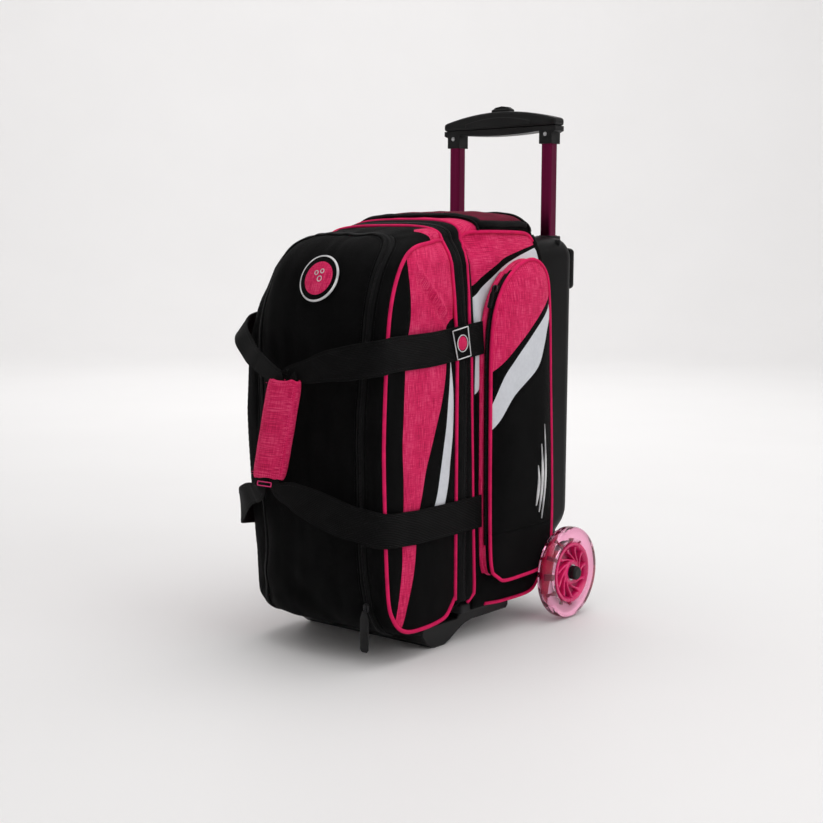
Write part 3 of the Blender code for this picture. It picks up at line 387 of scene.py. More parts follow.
def tube(name, path, radius, use, closed=False, sides=10, flat=1.0):
    """A round cord along a path, with a UV map along it. flat squeezes it along its frame's second way."""
    count = len(path)
    bm = bmesh.new()
    layer = bm.loops.layers.uv.new("cloth")
    rings, run, normal = [], [0.0], None
    for i, point in enumerate(path):
        before = path[i - 1] if closed or i else path[0]
        after = path[(i + 1) % count] if closed or i < count - 1 else path[-1]
        ahead = (after - before).normalized()
        if normal is None:
            normal = ahead.orthogonal().normalized()
        normal = (normal - ahead * normal.dot(ahead)).normalized()
        side = ahead.cross(normal)
        size = radius(i / (count - 1)) if callable(radius) else radius
        ring = []
        for k in range(sides):
            turn = 2 * pi * k / sides
            ring.append(bm.verts.new(point + normal * size * cos(turn) + side * size * flat * sin(turn)))
        rings.append(ring)
        if i:
            run.append(run[-1] + (point - path[i - 1]).length)
    spans = count if closed else count - 1
    run.append(run[-1] + (path[0] - path[-1]).length)
    for i in range(spans):
        here, there = rings[i], rings[(i + 1) % count]
        for k in range(sides):
            m = (k + 1) % sides
            face = bm.faces.new((here[k], here[m], there[m], there[k]))
            around = 2 * pi * (radius(0.5) if callable(radius) else radius) / sides
            for loop, (u, v) in zip(face.loops, ((k, i), (k + 1, i), (k + 1, i + 1), (k, i + 1))):
                loop[layer].uv = (u * around, run[v])
    if not closed:
        bm.faces.new(list(reversed(rings[0])))
        bm.faces.new(rings[-1])
    bmesh.ops.recalc_face_normals(bm, faces=bm.faces)
    return link(name, bm, [use])


def ribbon(name, route, across, widths, thickness, use, columns=8):
    """A woven band along a route: soft rounded edges, and a UV map across and along it."""
    bm = bmesh.new()
    layer = bm.loops.layers.uv.new("cloth")
    section = [(-1 + 2 * k / columns, 1) for k in range(columns + 1)]
    section = [(-1.012, 0.0), *section, (1.012, 0.0)] + [(a, -1) for a, _ in reversed(section)]
    rings, run = [], 0.0
    runs = []
    for i, point in enumerate(route):
        ahead = (route[min(i + 1, len(route) - 1)] - route[max(i - 1, 0)]).normalized()
        side = (across[i] - ahead * across[i].dot(ahead)).normalized() * widths[i] / 2
        up = ahead.cross(side).normalized() * thickness / 2
        rings.append([bm.verts.new(point + side * a + up * b) for a, b in section])
        if i:
            run += (point - route[i - 1]).length
        runs.append(run)
    count = len(section)
    for i in range(len(route) - 1):
        for k in range(count):
            m = (k + 1) % count
            face = bm.faces.new((rings[i][k], rings[i + 1][k], rings[i + 1][m], rings[i][m]))
            for loop, (s, r) in zip(face.loops, ((k, i), (k, i + 1), (m, i + 1), (m, i))):
                loop[layer].uv = (section[s][0] * 0.0215, runs[r])
    bm.faces.new(list(reversed(rings[0])))
    bm.faces.new(rings[-1])
    bmesh.ops.recalc_face_normals(bm, faces=bm.faces)
    return link(name, bm, [use], 60)


def lathe(name, profile, centre, axis, steps, use, sharp=40):
    """Turns a closed profile of (radius, height) pairs round X (axis 0), Y (1) or Z (2)."""
    bm = bmesh.new()
    rings = []
    order = {0: lambda r, s, h: (h, r, s), 1: lambda r, s, h: (s, h, r), 2: lambda r, s, h: (r, s, h)}[axis]
    for step in range(steps):
        angle = 2 * pi * step / steps
        ring = []
        for radius, height in profile:
            ring.append(bm.verts.new(Vector(centre) + Vector(order(radius * cos(angle), radius * sin(angle), height))))
        rings.append(ring)
    for step in range(steps):
        here, there = rings[step], rings[(step + 1) % steps]
        for i in range(len(profile)):
            j = (i + 1) % len(profile)
            bm.faces.new((here[i], there[i], there[j], here[j]))
    bmesh.ops.remove_doubles(bm, verts=bm.verts, dist=1e-7)
    bmesh.ops.recalc_face_normals(bm, faces=bm.faces)
    return link(name, bm, [use], sharp)


def panel(name, outline, spacing, set_down, uses, regions=(), seams=(), turned=False):
    """A sewn panel: a flat outline cut into small triangles, its colour regions given by closed loops.

    set_down(a, b, edge, seam) gives the place in space of a flat point, from its distances to
    the outline and to the nearest seam. The first material is the ground of the panel, and each
    region names the index of its own.
    """
    edge_tree = nearness(spaced(outline, spacing / 4, True))
    outline = spaced(outline, spacing, True)
    lines = [spaced(line, spacing) for line in seams]
    verts = [Vector((p[0], p[1])) for p in outline]
    edges = [(i, (i + 1) % len(outline)) for i in range(len(outline))]
    for line in lines:
        start = len(verts)
        verts += [Vector((p[0], p[1])) for p in line]
        edges += [(start + i, start + i + 1) for i in range(len(line) - 1)]
    seam_points = [point for line in seams for point in spaced(line, spacing / 4)]
    seam_tree = nearness(seam_points)
    low_a, high_a = min(p[0] for p in outline), max(p[0] for p in outline)
    low_b, high_b = min(p[1] for p in outline), max(p[1] for p in outline)
    rows = int((high_b - low_b) / (spacing * 0.866)) + 1
    for j in range(rows + 1):
        b = low_b + j * spacing * 0.866
        for i in range(int((high_a - low_a) / spacing) + 2):
            a = low_a + (i + 0.5 * (j % 2)) * spacing
            near = min(edge_tree.find((a, b, 0))[2], seam_tree.find((a, b, 0))[2] if seam_points else 1)
            if near > 0.55 * spacing and inside(outline, (a, b)):
                verts.append(Vector((a, b)))
    points, _, faces, *_ = geometry.delaunay_2d_cdt(verts, edges, [], 1, 1e-7)
    bm = bmesh.new()
    layer = bm.loops.layers.uv.new("cloth")
    rim = bm.verts.layers.float.new("rim")
    made = []
    for point in points:
        edge = edge_tree.find((point[0], point[1], 0))[2]
        seam = seam_tree.find((point[0], point[1], 0))[2] if seam_points else 1.0
        vert = bm.verts.new(set_down(point[0], point[1], edge, seam))
        vert[rim] = min(edge, seam)
        made.append(vert)
    for corners in faces:
        face = bm.faces.new([made[i] for i in corners])
        middle = sum((points[i] for i in corners), Vector((0, 0))) / len(corners)
        for index, loop in regions:
            if inside(loop, middle):
                face.material_index = index
                break
        for loop, i in zip(face.loops, corners):
            loop[layer].uv = (points[i][1], points[i][0]) if turned else tuple(points[i])
    bmesh.ops.delete(bm, geom=[v for v in bm.verts if not v.link_faces], context="VERTS")
    return link(name, bm, uses)


def facing(obj, outward):
    """Turns a sheet's faces so that they point outward on the whole."""
    mesh = obj.data
    total = sum((face.normal * face.area for face in mesh.polygons), Vector())
    if total.dot(Vector(outward)) < 0:
        mesh.flip_normals()
    return obj


def fold_noise(point, size, seed=0.0):
    """Smooth noise from -1 to 1 with features of this size."""
    return noise.noise(Vector(point) / size + Vector((seed, seed * 0.7, -seed)))


# ---- cloth settling ------------------------------------------------------------------------
settling = []


def settle(obj, grow=0.015, pressure=0.4, cap=0.004, stiff=15.0, bend=0.6, hold=0.004):
    """Books a sheet for the cloth simulation, held along its outline and its seams."""
    settling.append((obj, grow, pressure, cap, stiff, bend, hold))


def run_cloth():
    """Lets every booked sheet relax for 20 frames, limits its travel and keeps the result."""
    scene = bpy.context.scene
    for obj, grow, pressure, _, stiff, bend, hold in settling:
        held = obj.vertex_groups.new(name="held")
        rims = obj.data.attributes["rim"].data
        for i in range(len(obj.data.vertices)):
            held.add([i], 1.0 - ease(hold * 0.3, hold, rims[i].value), "REPLACE")
        cloth = obj.modifiers.new("cloth", "CLOTH").settings
        cloth.vertex_group_mass = "held"
        cloth.shrink_min = -grow
        cloth.use_pressure = True
        cloth.uniform_pressure_force = pressure
        cloth.tension_stiffness = stiff
        cloth.compression_stiffness = stiff
        cloth.shear_stiffness = stiff / 3
        cloth.bending_stiffness = bend
        cloth.mass = 0.2
        cloth.quality = 6
        cloth.effector_weights.gravity = 0.25
    for step in range(1, 21):
        scene.frame_set(step)
    graph = bpy.context.evaluated_depsgraph_get()
    found = []
    for obj, *_ in settling:
        shape = obj.evaluated_get(graph).data
        found.append([vert.co.copy() for vert in shape.vertices])
    for (obj, _, _, cap, *_), places in zip(settling, found):
        obj.modifiers.clear()
        for vert, target in zip(obj.data.vertices, places):
            move = target - vert.co
            inward = min(0.0, move.dot(vert.normal) + 0.0012)
            move -= vert.normal * inward
            if move.length > cap:
                move *= cap / move.length
            vert.co += move
    scene.frame_set(1)


def thicken(obj, thickness=0.0022, rounds=0, backing=None):
    """Gives a sheet its thickness inwards, and rounds its mesh if asked."""
    modifier = obj.modifiers.new("thickness", "SOLIDIFY")
    modifier.thickness = thickness
    modifier.offset = -1
    modifier.use_even_offset = False
    if backing:
        obj.data.materials.append(M[backing])
        modifier.material_offset = len(obj.data.materials)
    if rounds:
        modifier = obj.modifiers.new("rounding", "SUBSURF")
        modifier.levels = modifier.render_levels = rounds
    return applied(obj)


def stitches(name, path, out, use, pitch=0.0032, length=0.0021, radius=0.00028):
    """A row of thread stitches along a path. out(point) is the way out of the cloth there."""
    bm = bmesh.new()
    layer = bm.loops.layers.uv.new("cloth")
    points = spaced(path, pitch)
    for here, after in zip(points, points[1:]):
        ahead = (after - here).normalized()
        up = out(here) if callable(out) else Vector(out)
        side = ahead.cross(up).normalized()
        start = here
        rings = []
        for share, size, lift in ((0, 0.5, 0.0), (0.2, 1, 0.7), (0.8, 1, 0.7), (1, 0.5, 0.0)):
            at = start + ahead * length * share + up * radius * lift
            rings.append([
                bm.verts.new(at + (side * cos(2 * pi * k / 5) + up * sin(2 * pi * k / 5)) * radius * size)
                for k in range(5)
            ])
        for a, b in zip(rings, rings[1:]):
            for k in range(5):
                m = (k + 1) % 5
                face = bm.faces.new((a[k], b[k], b[m], a[m]))
                for loop in face.loops:
                    loop[layer].uv = (loop.vert.co.dot(side), loop.vert.co.dot(ahead))
        bm.faces.new(rings[0])
        bm.faces.new(list(reversed(rings[-1])))
    bmesh.ops.recalc_face_normals(bm, faces=bm.faces)
    return link(name, bm, [use])


def coil(name, path, across, out, use="coil", pitch=0.0016, half=0.0023, height=0.0011):
    """A row of zip coil loops across a path."""
    bm = bmesh.new()
    points = spaced(path, pitch)
    for i in range(len(points) - 1):
        here = points[i]
        ahead = (points[i + 1] - here).normalized()
        up = (out(here) if callable(out) else Vector(out)).normalized()
        side = (across(here) if callable(across) else Vector(across)).normalized()
        rings = []
        for share, rise in ((-1, 0.1), (-0.55, 0.9), (0.55, 0.9), (1, 0.1)):
            at = here + side * half * share + up * height * rise
            rings.append([
                bm.verts.new(at + (ahead * cos(pi * k / 2) + up * sin(pi * k / 2)) * pitch * 0.42)
                for k in range(4)
            ])
        for a, b in zip(rings, rings[1:]):
            for k in range(4):
                m = (k + 1) % 4
                bm.faces.new((a[k], b[k], b[m], a[m]))
        bm.faces.new(rings[0])
        bm.faces.new(list(reversed(rings[-1])))
    bmesh.ops.recalc_face_normals(bm, faces=bm.faces)
    return link(name, bm, [use])


def sheet(name, columns, rows, spot, uses, pick=None):
    """A sheet over a grid. spot(u, v) gives a place and its flat (a, b); pick(a, b) its material."""
    bm = bmesh.new()
    layer = bm.loops.layers.uv.new("cloth")
    rim = bm.verts.layers.float.new("rim")
    grid, flat = [], []
    for j in range(rows + 1):
        found = [spot(i / columns, j / rows) for i in range(columns + 1)]
        grid.append([bm.verts.new(place_) for place_, _ in found])
        flat.append([at for _, at in found])
    for j in range(rows + 1):
        for i in range(columns + 1):
            away = min(i, columns - i) / columns, min(j, rows - j) / rows
            grid[j][i][rim] = min(away)
    for j in range(rows):
        for i in range(columns):
            cell = ((j, i), (j, i + 1), (j + 1, i + 1), (j + 1, i))
            face = bm.faces.new([grid[r][c] for r, c in cell])
            middle = [sum(flat[r][c][k] for r, c in cell) / 4 for k in (0, 1)]
            if pick:
                face.material_index = pick(*middle)
            for loop, (r, c) in zip(face.loops, cell):
                loop[layer].uv = flat[r][c]
    return link(name, bm, uses)


# ---- the front of the door ----------------------------------------------------------------
ROW_STEPS = 8
SIDE_LINE = smooth(DOOR_SIDE, ROW_STEPS)
CENTRE_LINE = smooth(DOOR_CENTRE, ROW_STEPS)
RUN = [0.0]
for step_a, step_b in zip(CENTRE_LINE, CENTRE_LINE[1:]):
    RUN.append(RUN[-1] + (step_b - step_a).length)
ARCH = []                                          # (distance from the centre, x, crown weight)
for arch_step in range(241):
    turn = pi / 2 * arch_step / 240
    arch_x, arch_weight = HALF * sin(turn)**0.5, max(0.0, cos(turn))**0.5
    ahead = sqrt((arch_x - ARCH[-1][1])**2 + (0.018 * (arch_weight - ARCH[-1][2]))**2) if ARCH else 0.0
    ARCH.append(((ARCH[-1][0] if ARCH else 0.0) + ahead, arch_x, arch_weight))
WIDE = ARCH[-1][0]                                 # half the front's width, laid flat


def between(table, value, key=0):
    """The row of a table at this value of its key column, interpolated."""
    value = min(max(value, table[0][key]), table[-1][key])
    low, high = 0, len(table) - 1
    while high - low > 1:
        middle = (low + high) // 2
        if table[middle][key] <= value:
            low = middle
        else:
            high = middle
    share = (value - table[low][key]) / max(table[high][key] - table[low][key], 1e-12)
    return [a + (b - a) * share for a, b in zip(table[low], table[high])]


def flat_x(x):
    """How far from the centre, laid flat, the front reaches this x."""
    return between(ARCH, abs(x), 1)[0] * (1 if x > 0 else -1)


DOOR_ROWS = [(run, *side, *centre) for run, side, centre in zip(RUN, SIDE_LINE, CENTRE_LINE)]


SLUMP = ((0.030, 0.014), (0.070, 0.020), (0.120, 0.020), (0.200, 0.016), (0.300, 0.012), (0.400, 0.014),
         (0.460, 0.018), (0.520, 0.016))           # (height, how far the left corner sinks in)


def slump(point):
    """The empty bag's left front corner sinks in and down."""
    share = ease(-0.045, -0.118, point.x) * ease(-0.085, -0.172, point.y)
    deep = between(SLUMP, point.z)[1] * share
    return point + Vector((0.62 * deep, 0.78 * deep, -0.45 * deep * ease(0.42, 0.49, point.z)))


LEAN = ((0.380, 0.0), (0.444, 0.0050), (0.487, 0.0100), (0.500, 0.0150), (0.510, 0.0215), (0.518, 0.0270),
        (0.560, 0.0280))                           # (height, how far the sides lean in)


def shoulder(point):
    """The soft top leans in to its crown, and the front's upper corners fall back."""
    lean = between(LEAN, point.z)[1]
    share = min(1.0, abs(point.x) / HALF)
    back = 1.2 * lean * share**3 * ease(-0.042, -0.110, point.y)
    held = 1 - 0.65 * ease(-0.005, 0.050, point.y)
    return Vector((point.x * (1 - held * lean / HALF), point.y + back, point.z))


def front_at(a, b):
    _, x, weight = between(ARCH, abs(a))
    _, side_y, side_z, centre_y, centre_z = between(DOOR_ROWS, b)
    return slump(shoulder(Vector((x if a > 0 else -x, side_y + (centre_y - side_y) * weight,
                                  side_z + (centre_z - side_z) * weight))))


def front_out(a, b):
    """The way out of the front's cloth at a flat point."""
    small = 0.0015
    a = max(-WIDE + 3 * small, min(WIDE - 3 * small, a))
    b = max(2 * small, min(RUN[-1] - 2 * small, b))
    across = front_at(a + small, b) - front_at(a - small, b)
    along = front_at(a, b + small) - front_at(a, b - small)
    return across.cross(along).normalized()


def front_drape(a, b):
    """How far the soft front stands off its pattern: broad sags, slack folds and a lumpy foot."""
    at = front_at(a, b)
    edge = ease(0.0, 0.030, WIDE - abs(a)) * ease(0.0, 0.02, RUN[-1] - b) * ease(0.0, 0.02, b)
    broad = 0.0028 * fold_noise((a * 1.0, b * 0.6, 0.3), 0.060)
    folds = 0.0013 * fold_noise((a * 1.6, b * 0.45, 2.1), 0.022)
    foot = 0.0040 * ease(0.16, 0.07, at.z) * ease(-0.12, -0.15, at.y) * fold_noise((a, b, 5.0), 0.030)
    channel = -0.0030 * exp(-((abs(a) - shoe_zip_a(a, b)) / 0.010)**2) * ease(0.05, 0.10, at.z) * ease(0.51, 0.48, at.z)
    sag = -0.0045 * ease(-0.14, -0.06, at.y) * ease(0.44, 0.5, at.z) * ease(0.0, -0.10, a)
    return edge * (broad + folds + foot + sag) + channel


ZIP_HALF = 0.0062                                  # half the shoe zip's band
SHOE_ZIP = ((0.128, 0.1060), (0.168, 0.1045), (0.205, 0.0985), (0.262, 0.0948), (0.430, 0.0935), (0.517, 0.1020), (0.575, 0.1045),
            (0.700, 0.1050))                       # (run, how far the zip is from the centre), laid flat
LEFT_SHORT = 0.014                                 # the slack left side brings its zip nearer
FRONT_FOOT = RUN[4 * ROW_STEPS]                    # where the bottom turns up into the front
FRONT_CREST = RUN[-1] - 0.0760
ZIP_CORNER = 0.052                                 # radius of the shoe zip's upper corners


def shoe_zip_a(a, b):
    return between(SHOE_ZIP, b)[1] - (LEFT_SHORT if a < 0 else 0.0)


def front_place(a, b, lift=0.0):
    return front_at(a, b) + front_out(a, b) * (front_drape(a, b) + lift)


def shoe_zip_line():
    """The shoe zip laid flat, from the foot of its left run, across the crest, to its right foot."""
    sides = []
    for sign in (-1, 1):
        run, side = FRONT_FOOT + 0.006, []
        while run < FRONT_CREST - ZIP_CORNER:
            side.append(Vector((sign * shoe_zip_a(sign, run), run)))
            run += 0.008
        corner = Vector((shoe_zip_a(sign, run) - ZIP_CORNER, FRONT_CREST - ZIP_CORNER))
        for t in (pi / 2 * i / 12 for i in range(13)):
            side.append(Vector((sign * (corner.x + ZIP_CORNER * cos(t)), corner.y + ZIP_CORNER * sin(t))))
        sides.append(side)
    return spaced([*sides[0], *reversed(sides[1])], 0.0030)


def aside(line, i, distance):
    """The line's point moved outward, away from the flap."""
    ahead = (line[min(i + 1, len(line) - 1)] - line[max(i - 1, 0)]).normalized()
    return line[i] + Vector((-ahead.y, ahead.x)) * distance


def pink_corner(sign):
    """The pink piece at a rear corner of the top, laid flat."""
    end = RUN[-1]
    line = [(0.0960, end + 0.010), (0.0950, end - 0.006), (0.0900, end - 0.030), (0.0980, end - 0.045),
            (WIDE + 0.010, end - 0.052)]
    return [(sign * a, b) for a, b in line], [(sign * a, b) for a, b in (*line, (WIDE + 0.010, end + 0.010))]


def make_front():
    """Black cloth round the front, and the flap's part within the shoe zip."""
    line = shoe_zip_line()
    last = len(line) - 1

    def bottom_spot(u, v):
        a, b = WIDE * (2 * u - 1), FRONT_FOOT * v
        return front_place(a, b), (a, b)

    bottom = sheet("front_bottom_cloth", 64, 26, bottom_spot, ["black"])
    facing(bottom, (0, 0, -1))
    place(thicken(bottom), "door", "black", "door_bottom")

    outer = [aside(line, i, ZIP_HALF) for i in range(len(line))]
    inner = [aside(line, i, -ZIP_HALF) for i in range(len(line))]
    end = RUN[-1]
    frame_loop = [(-WIDE, FRONT_FOOT), (-WIDE, end), (WIDE, end), (WIDE, FRONT_FOOT), (outer[-1].x, FRONT_FOOT),
                  *[tuple(p) for p in reversed(outer)], (outer[0].x, FRONT_FOOT)]
    centre_loop = [(inner[0].x, FRONT_FOOT), *[tuple(p) for p in inner], (inner[-1].x, FRONT_FOOT)]
    lay = lambda a, b, edge, seam: front_place(a, b)
    corners = [pink_corner(sign) for sign in (-1, 1)]
    frame_cloth = panel("front_frame_cloth", frame_loop, 0.0048, lay, ["black", "pink"],
                        [(1, loop) for _, loop in corners], [line for line, _ in corners])
    facing(frame_cloth, (0, -1, 0.4))
    place(thicken(frame_cloth), "door", "black", "door_front")
    centre = panel("front_centre_cloth", centre_loop, 0.0048, lay, ["black"])
    facing(centre, (0, -1, 0.2))
    thicken(centre)
    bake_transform(centre)
    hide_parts("shoe_flap")

    def tape_spot(sign):
        def spot(u, v):
            i = round(v * last)
            at = aside(line, i, sign * (0.0004 + (ZIP_HALF - 0.0002) * u))
            return front_place(at.x, at.y, 0.0009 + 0.0013 * sin(pi * u)), (0.0004 + ZIP_HALF * u, i * 0.003)
        return spot

    tape = sheet("shoe_zip_tape", 6, last, tape_spot(1), ["tape"])
    facing(tape, (0, -1, 0.2))
    place(thicken(tape, 0.0010), "door", "tape")
    tape = sheet("shoe_zip_flap_tape", 6, last, tape_spot(-1), ["tape"])
    facing(tape, (0, -1, 0.2))
    flap_pieces = [(thicken(tape, 0.0010), "zip")]
    laid = [front_place(p.x, p.y, 0.0009) for p in line]
    near = kdtree.KDTree(len(laid))
    for i, point in enumerate(laid):
        near.insert(point, i)
    near.balance()
    out = lambda p: front_out(*line[near.find(p)[1]])

    def over(p):
        i = near.find(p)[1]
        return (laid[min(i + 1, last)] - laid[max(i - 1, 0)]).cross(out(p))

    flap_pieces.append((coil("shoe_zip_coil", laid, over, out, half=0.0026), "zip"))
    for offset, label in ((ZIP_HALF + 0.0026, "door"), (-ZIP_HALF - 0.0026, "flap")):
        row = [aside(line, i, offset) for i in range(last + 1)]
        row = stitches(f"shoe_zip_stitch_{label}", [front_place(p.x, p.y, 0.0002) for p in row], out, "black_thread")
        if label == "door":
            place(row, "door", "black_thread")
        else:
            flap_pieces.append((row, "webbing"))
    for piece, slot_name in flap_pieces:
        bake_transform(piece)


# ---- sides of the door --------------------------------------------------------------------
DOOR_REAR_EDGE = DOOR_SIDE[-1][0]
SIDE_LOOP = [*DOOR_SIDE[1:], (DOOR_REAR_EDGE, 0.50), (DOOR_REAR_EDGE, 0.062)]
WEDGE = (
    (-0.141, 0.489), (-0.137, 0.420), (-0.146, 0.361), (-0.151, 0.271), (-0.148, 0.185), (-0.152, 0.111),
    (-0.159, 0.060), (-0.147, 0.047), (-0.130, 0.108), (-0.117, 0.184), (-0.110, 0.223), (-0.095, 0.265),
    (-0.075, 0.319), (-0.064, 0.366), (-0.062, 0.405), (-0.052, 0.416), (-0.030, 0.424), (-0.030, 0.530),
    (-0.148, 0.530),
)
DOOR_STRIPE = ((-0.0540, 0.372), (-0.0480, 0.292), (-0.0680, 0.172), (-0.0900, 0.170), (-0.0690, 0.269),
               (-0.0555, 0.355))


def door_side_loop():
    foot = ((-0.0515, 0.0520), (-0.0660, 0.0405))
    return [Vector(p) for p in smooth((*foot, *DOOR_SIDE[3:]), 6)] + [Vector((DOOR_REAR_EDGE, 0.064))]


def corner_line(points, per_span=5):
    return [tuple(p) for p in smooth(points, per_span)]


def wedge_loop():
    left, right = corner_line(WEDGE[:7]), corner_line(WEDGE[7:17])
    return [*left, (-0.1640, 0.0300), (-0.1500, 0.0250), *right, *WEDGE[17:]]


def stripe_loop():
    return [*corner_line(DOOR_STRIPE[:3]), *corner_line(DOOR_STRIPE[3:])]


def strap_press(z):
    """How far the carry loops hold the side in: 1 under a loop and 0 away from it."""
    return max(exp(-((z - 0.387) / 0.028)**2), exp(-((z - 0.167) / 0.028)**2))


def make_door_sides():
    loop = door_side_loop()
    wedge, stripe = wedge_loop(), stripe_loop()
    dent = Vector((-0.0560, 0.4250))
    for side, sign in SIDES:
        def set_down(a, b, edge, seam):
            puff = 0.0055 * (1 - exp(-edge / 0.014)) * (1 - 0.7 * strap_press(b))
            puff -= 0.0010 * exp(-(seam / 0.0022)**2)
            puff += 0.0011 * fold_noise((a * 1.5, b * 0.7, sign), 0.030) * ease(0, 0.015, edge)
            along = (a + 0.136) / 0.080                      # along the slack fold, 0 to 1
            if sign > 0 and 0 < along < 1:
                away = (b - (0.490 - 0.072 * along)) * 0.74
                puff += (0.0046 * exp(-(away / 0.0038)**2) - 0.0034 * exp(-((away + 0.008) / 0.005)**2)) \
                    * ease(0, 0.25, along) * ease(1.0, 0.9, along)
            puff -= 0.0070 * exp(-((Vector((a, b)) - dent).length / 0.009)**2)
            return slump(shoulder(Vector((sign * (HALF - 0.0006 + puff), a, b))))

        regions = ((1, wedge), (2, stripe))
        seams = ([(-0.1380, 0.5300), *corner_line(WEDGE[:7]), (-0.1640, 0.0300)], [(-0.1500, 0.0250), *corner_line(WEDGE[7:17]), WEDGE[17]],
                 [*stripe, stripe[0]])
        obj = panel(f"door_side_cloth_{side}", [tuple(p) for p in loop], 0.0042, set_down,
                    ["black", "pink", "white"], regions, seams)
        facing(obj, (sign, 0, 0))
        settle(obj)
        yield_piece(obj, "door", "black", f"door_side_{side}", backing="lining")


finishing = []


def yield_piece(obj, body, use, *nodes, thickness=0.0020, backing=None):
    """Books a sheet to be thickened and put on its body once the cloth has settled."""
    finishing.append((obj, body, use, nodes, thickness, backing))


def finish_sheets():
    for obj, body, use, nodes, thickness, backing in finishing:
        place(thicken(obj, thickness, 0, backing), body, use, *nodes)


def piping(name, points, body, radius=0.0023, closed=False, spacing=0.004):
    path = spaced(points, spacing, closed)
    return place(tube(name, path, radius, "piping", closed, 8), body, "piping")


def make_door_piping():
    for side, sign in SIDES:
        foot = ((-0.0425, 0.0640), (-0.0515, 0.0520), (-0.0660, 0.0405))
        rim = [Vector((sign * (HALF + 0.0004), p.x, p.y)) for p in smooth((*foot, *DOOR_SIDE[3:]), 6)]
        piping(f"door_piping_{side}", [slump(shoulder(p)) for p in rim], "door", 0.0026)


# ---- zip band ------------------------------------------------------------------------------
BAND_SECTIONS = (                                  # (y, side z, crown z, roundness) across the band
    (BAND_FRONT, 0.5155, 0.5335, 0.66), (SEAM_Y, 0.5160, 0.5375, 0.62), (BAND_REAR, 0.5215, 0.5420, 0.66),
)


def band_line(y, half=HALF, low=0.0560, rise=0.0):
    """The band's line at y, up the right side, over the top and down the left side, in (x, z)."""
    _, side_z, top_z, roundness = between(BAND_SECTIONS, y)
    right = [Vector((half, low + (side_z - low) * i / 120)) for i in range(121)]
    arch = []
    for i in range(1, 64):
        angle = radians(90 - 180 * i / 64)
        x = abs(sin(angle))**roundness * (1 if angle > 0 else -1)
        arch.append(Vector((half * x, side_z + (top_z + rise - side_z) * abs(cos(angle))**roundness)))
    left = [Vector((-p.x, p.y)) for p in reversed(right)]
    leaning = [shoulder(Vector((p.x, y, p.y))) for p in (*right, *arch, *left)]
    return [Vector((p.x, p.z)) for p in leaning]


def line_out(line, i):
    ahead = line[min(i + 1, len(line) - 1)] - line[max(i - 1, 0)]
    return Vector((ahead.y, -ahead.x)).normalized()


def rear_edge_y(z, x):
    """Where the ball compartment's piping lies: it leans over the band on the sides."""
    lean = between(((0.05, 0.0), (0.072, 0.0015), (0.198, -0.004), (0.314, -0.008), (0.416, -0.011),
                    (0.490, -0.007), (0.530, -0.001), (0.56, 0.0)), z)[1]
    return BAND_REAR + lean * (1 if z < 0.51 else 0.0)


def make_band():
    count = len(band_line(SEAM_Y)) - 1
    halves = (
        ("zip_band_front", BAND_FRONT, SEAM_Y - 0.0006, "door", "zip_tape_door"),
        ("zip_band_rear", BAND_REAR + 0.001, SEAM_Y + 0.0006, "root", "zip_tape_rear"),
    )
    for name, outer, inner, body, node in halves:
        def spot(u, v):
            i = round(v * count)
            y = outer + (inner - outer) * u
            line = band_line(y)
            out = line_out(line, i)
            lift = 0.0003 + 0.0020 * sin(pi * min(1, u * 1.15))**0.8 * (1 if u < 0.87 else 0.6)
            lift += 0.0006 * fold_noise((v * 1.2, u * 0.02, 1), 0.05)
            return Vector((line[i].x + out.x * lift, y, line[i].y + out.y * lift)), (y, v * 1.05)

        obj = sheet(name, 12, count, spot, ["tape"])
        facing_up(obj)
        place(thicken(obj, 0.0012), body, "tape", node)
    line = spaced(band_line(SEAM_Y), 0.003)
    middle, ways = [], {}
    near = kdtree.KDTree(len(line))
    for i, p in enumerate(line):
        out = line_out(line, i)
        middle.append(Vector((p.x + out.x * 0.0004, SEAM_Y, p.y + out.y * 0.0004)))
        ways[i] = Vector((out.x, 0, out.y))
        near.insert(middle[-1], i)
    near.balance()
    teeth = coil("main_zip_coil", middle, (0, 1, 0), lambda p: ways[near.find(p)[1]], half=0.0027, height=0.0013)
    place(teeth, "root", "coil")
    for offset, body, label in ((-0.0080, "door", "front"), (0.0080, "root", "rear")):
        line = band_line(SEAM_Y + offset)
        row = [Vector((p.x + line_out(line, i).x * 0.0023, SEAM_Y + offset, p.y + line_out(line, i).y * 0.0023))
               for i, p in enumerate(line)]
        place(stitches(f"main_zip_stitch_{label}", row, lambda p: ways[near.find(p)[1]], "black_thread"), body,
              "black_thread")
    line = spaced(band_line(BAND_FRONT, HALF + 0.0012, 0.0600, 0.0012), 0.004)
    piping("band_piping_front", [Vector((p.x, BAND_FRONT - 0.0008, p.y)) for p in line], "door")
    line = spaced(band_line(BAND_REAR, HALF + 0.0016, 0.0620, 0.0012), 0.004)
    rear = [Vector((p.x, rear_edge_y(p.y, p.x) + 0.0006, p.y)) for p in line]
    hook = [Vector((s * (HALF + 0.0006), BAND_REAR - 0.011, 0.0520)) for s in (1, -1)]
    piping("band_piping_rear", [hook[0], *rear, hook[1]], "root")


def facing_up(obj):
    """Turns a band's faces outward, away from the bag's middle."""
    mesh = obj.data
    middle = Vector((0, 0, 0.3))
    total = sum((face.normal.dot(Vector((face.center.x, 0, face.center.z)) - middle) * face.area)
                for face in mesh.polygons)
    if total < 0:
        mesh.flip_normals()
    return obj


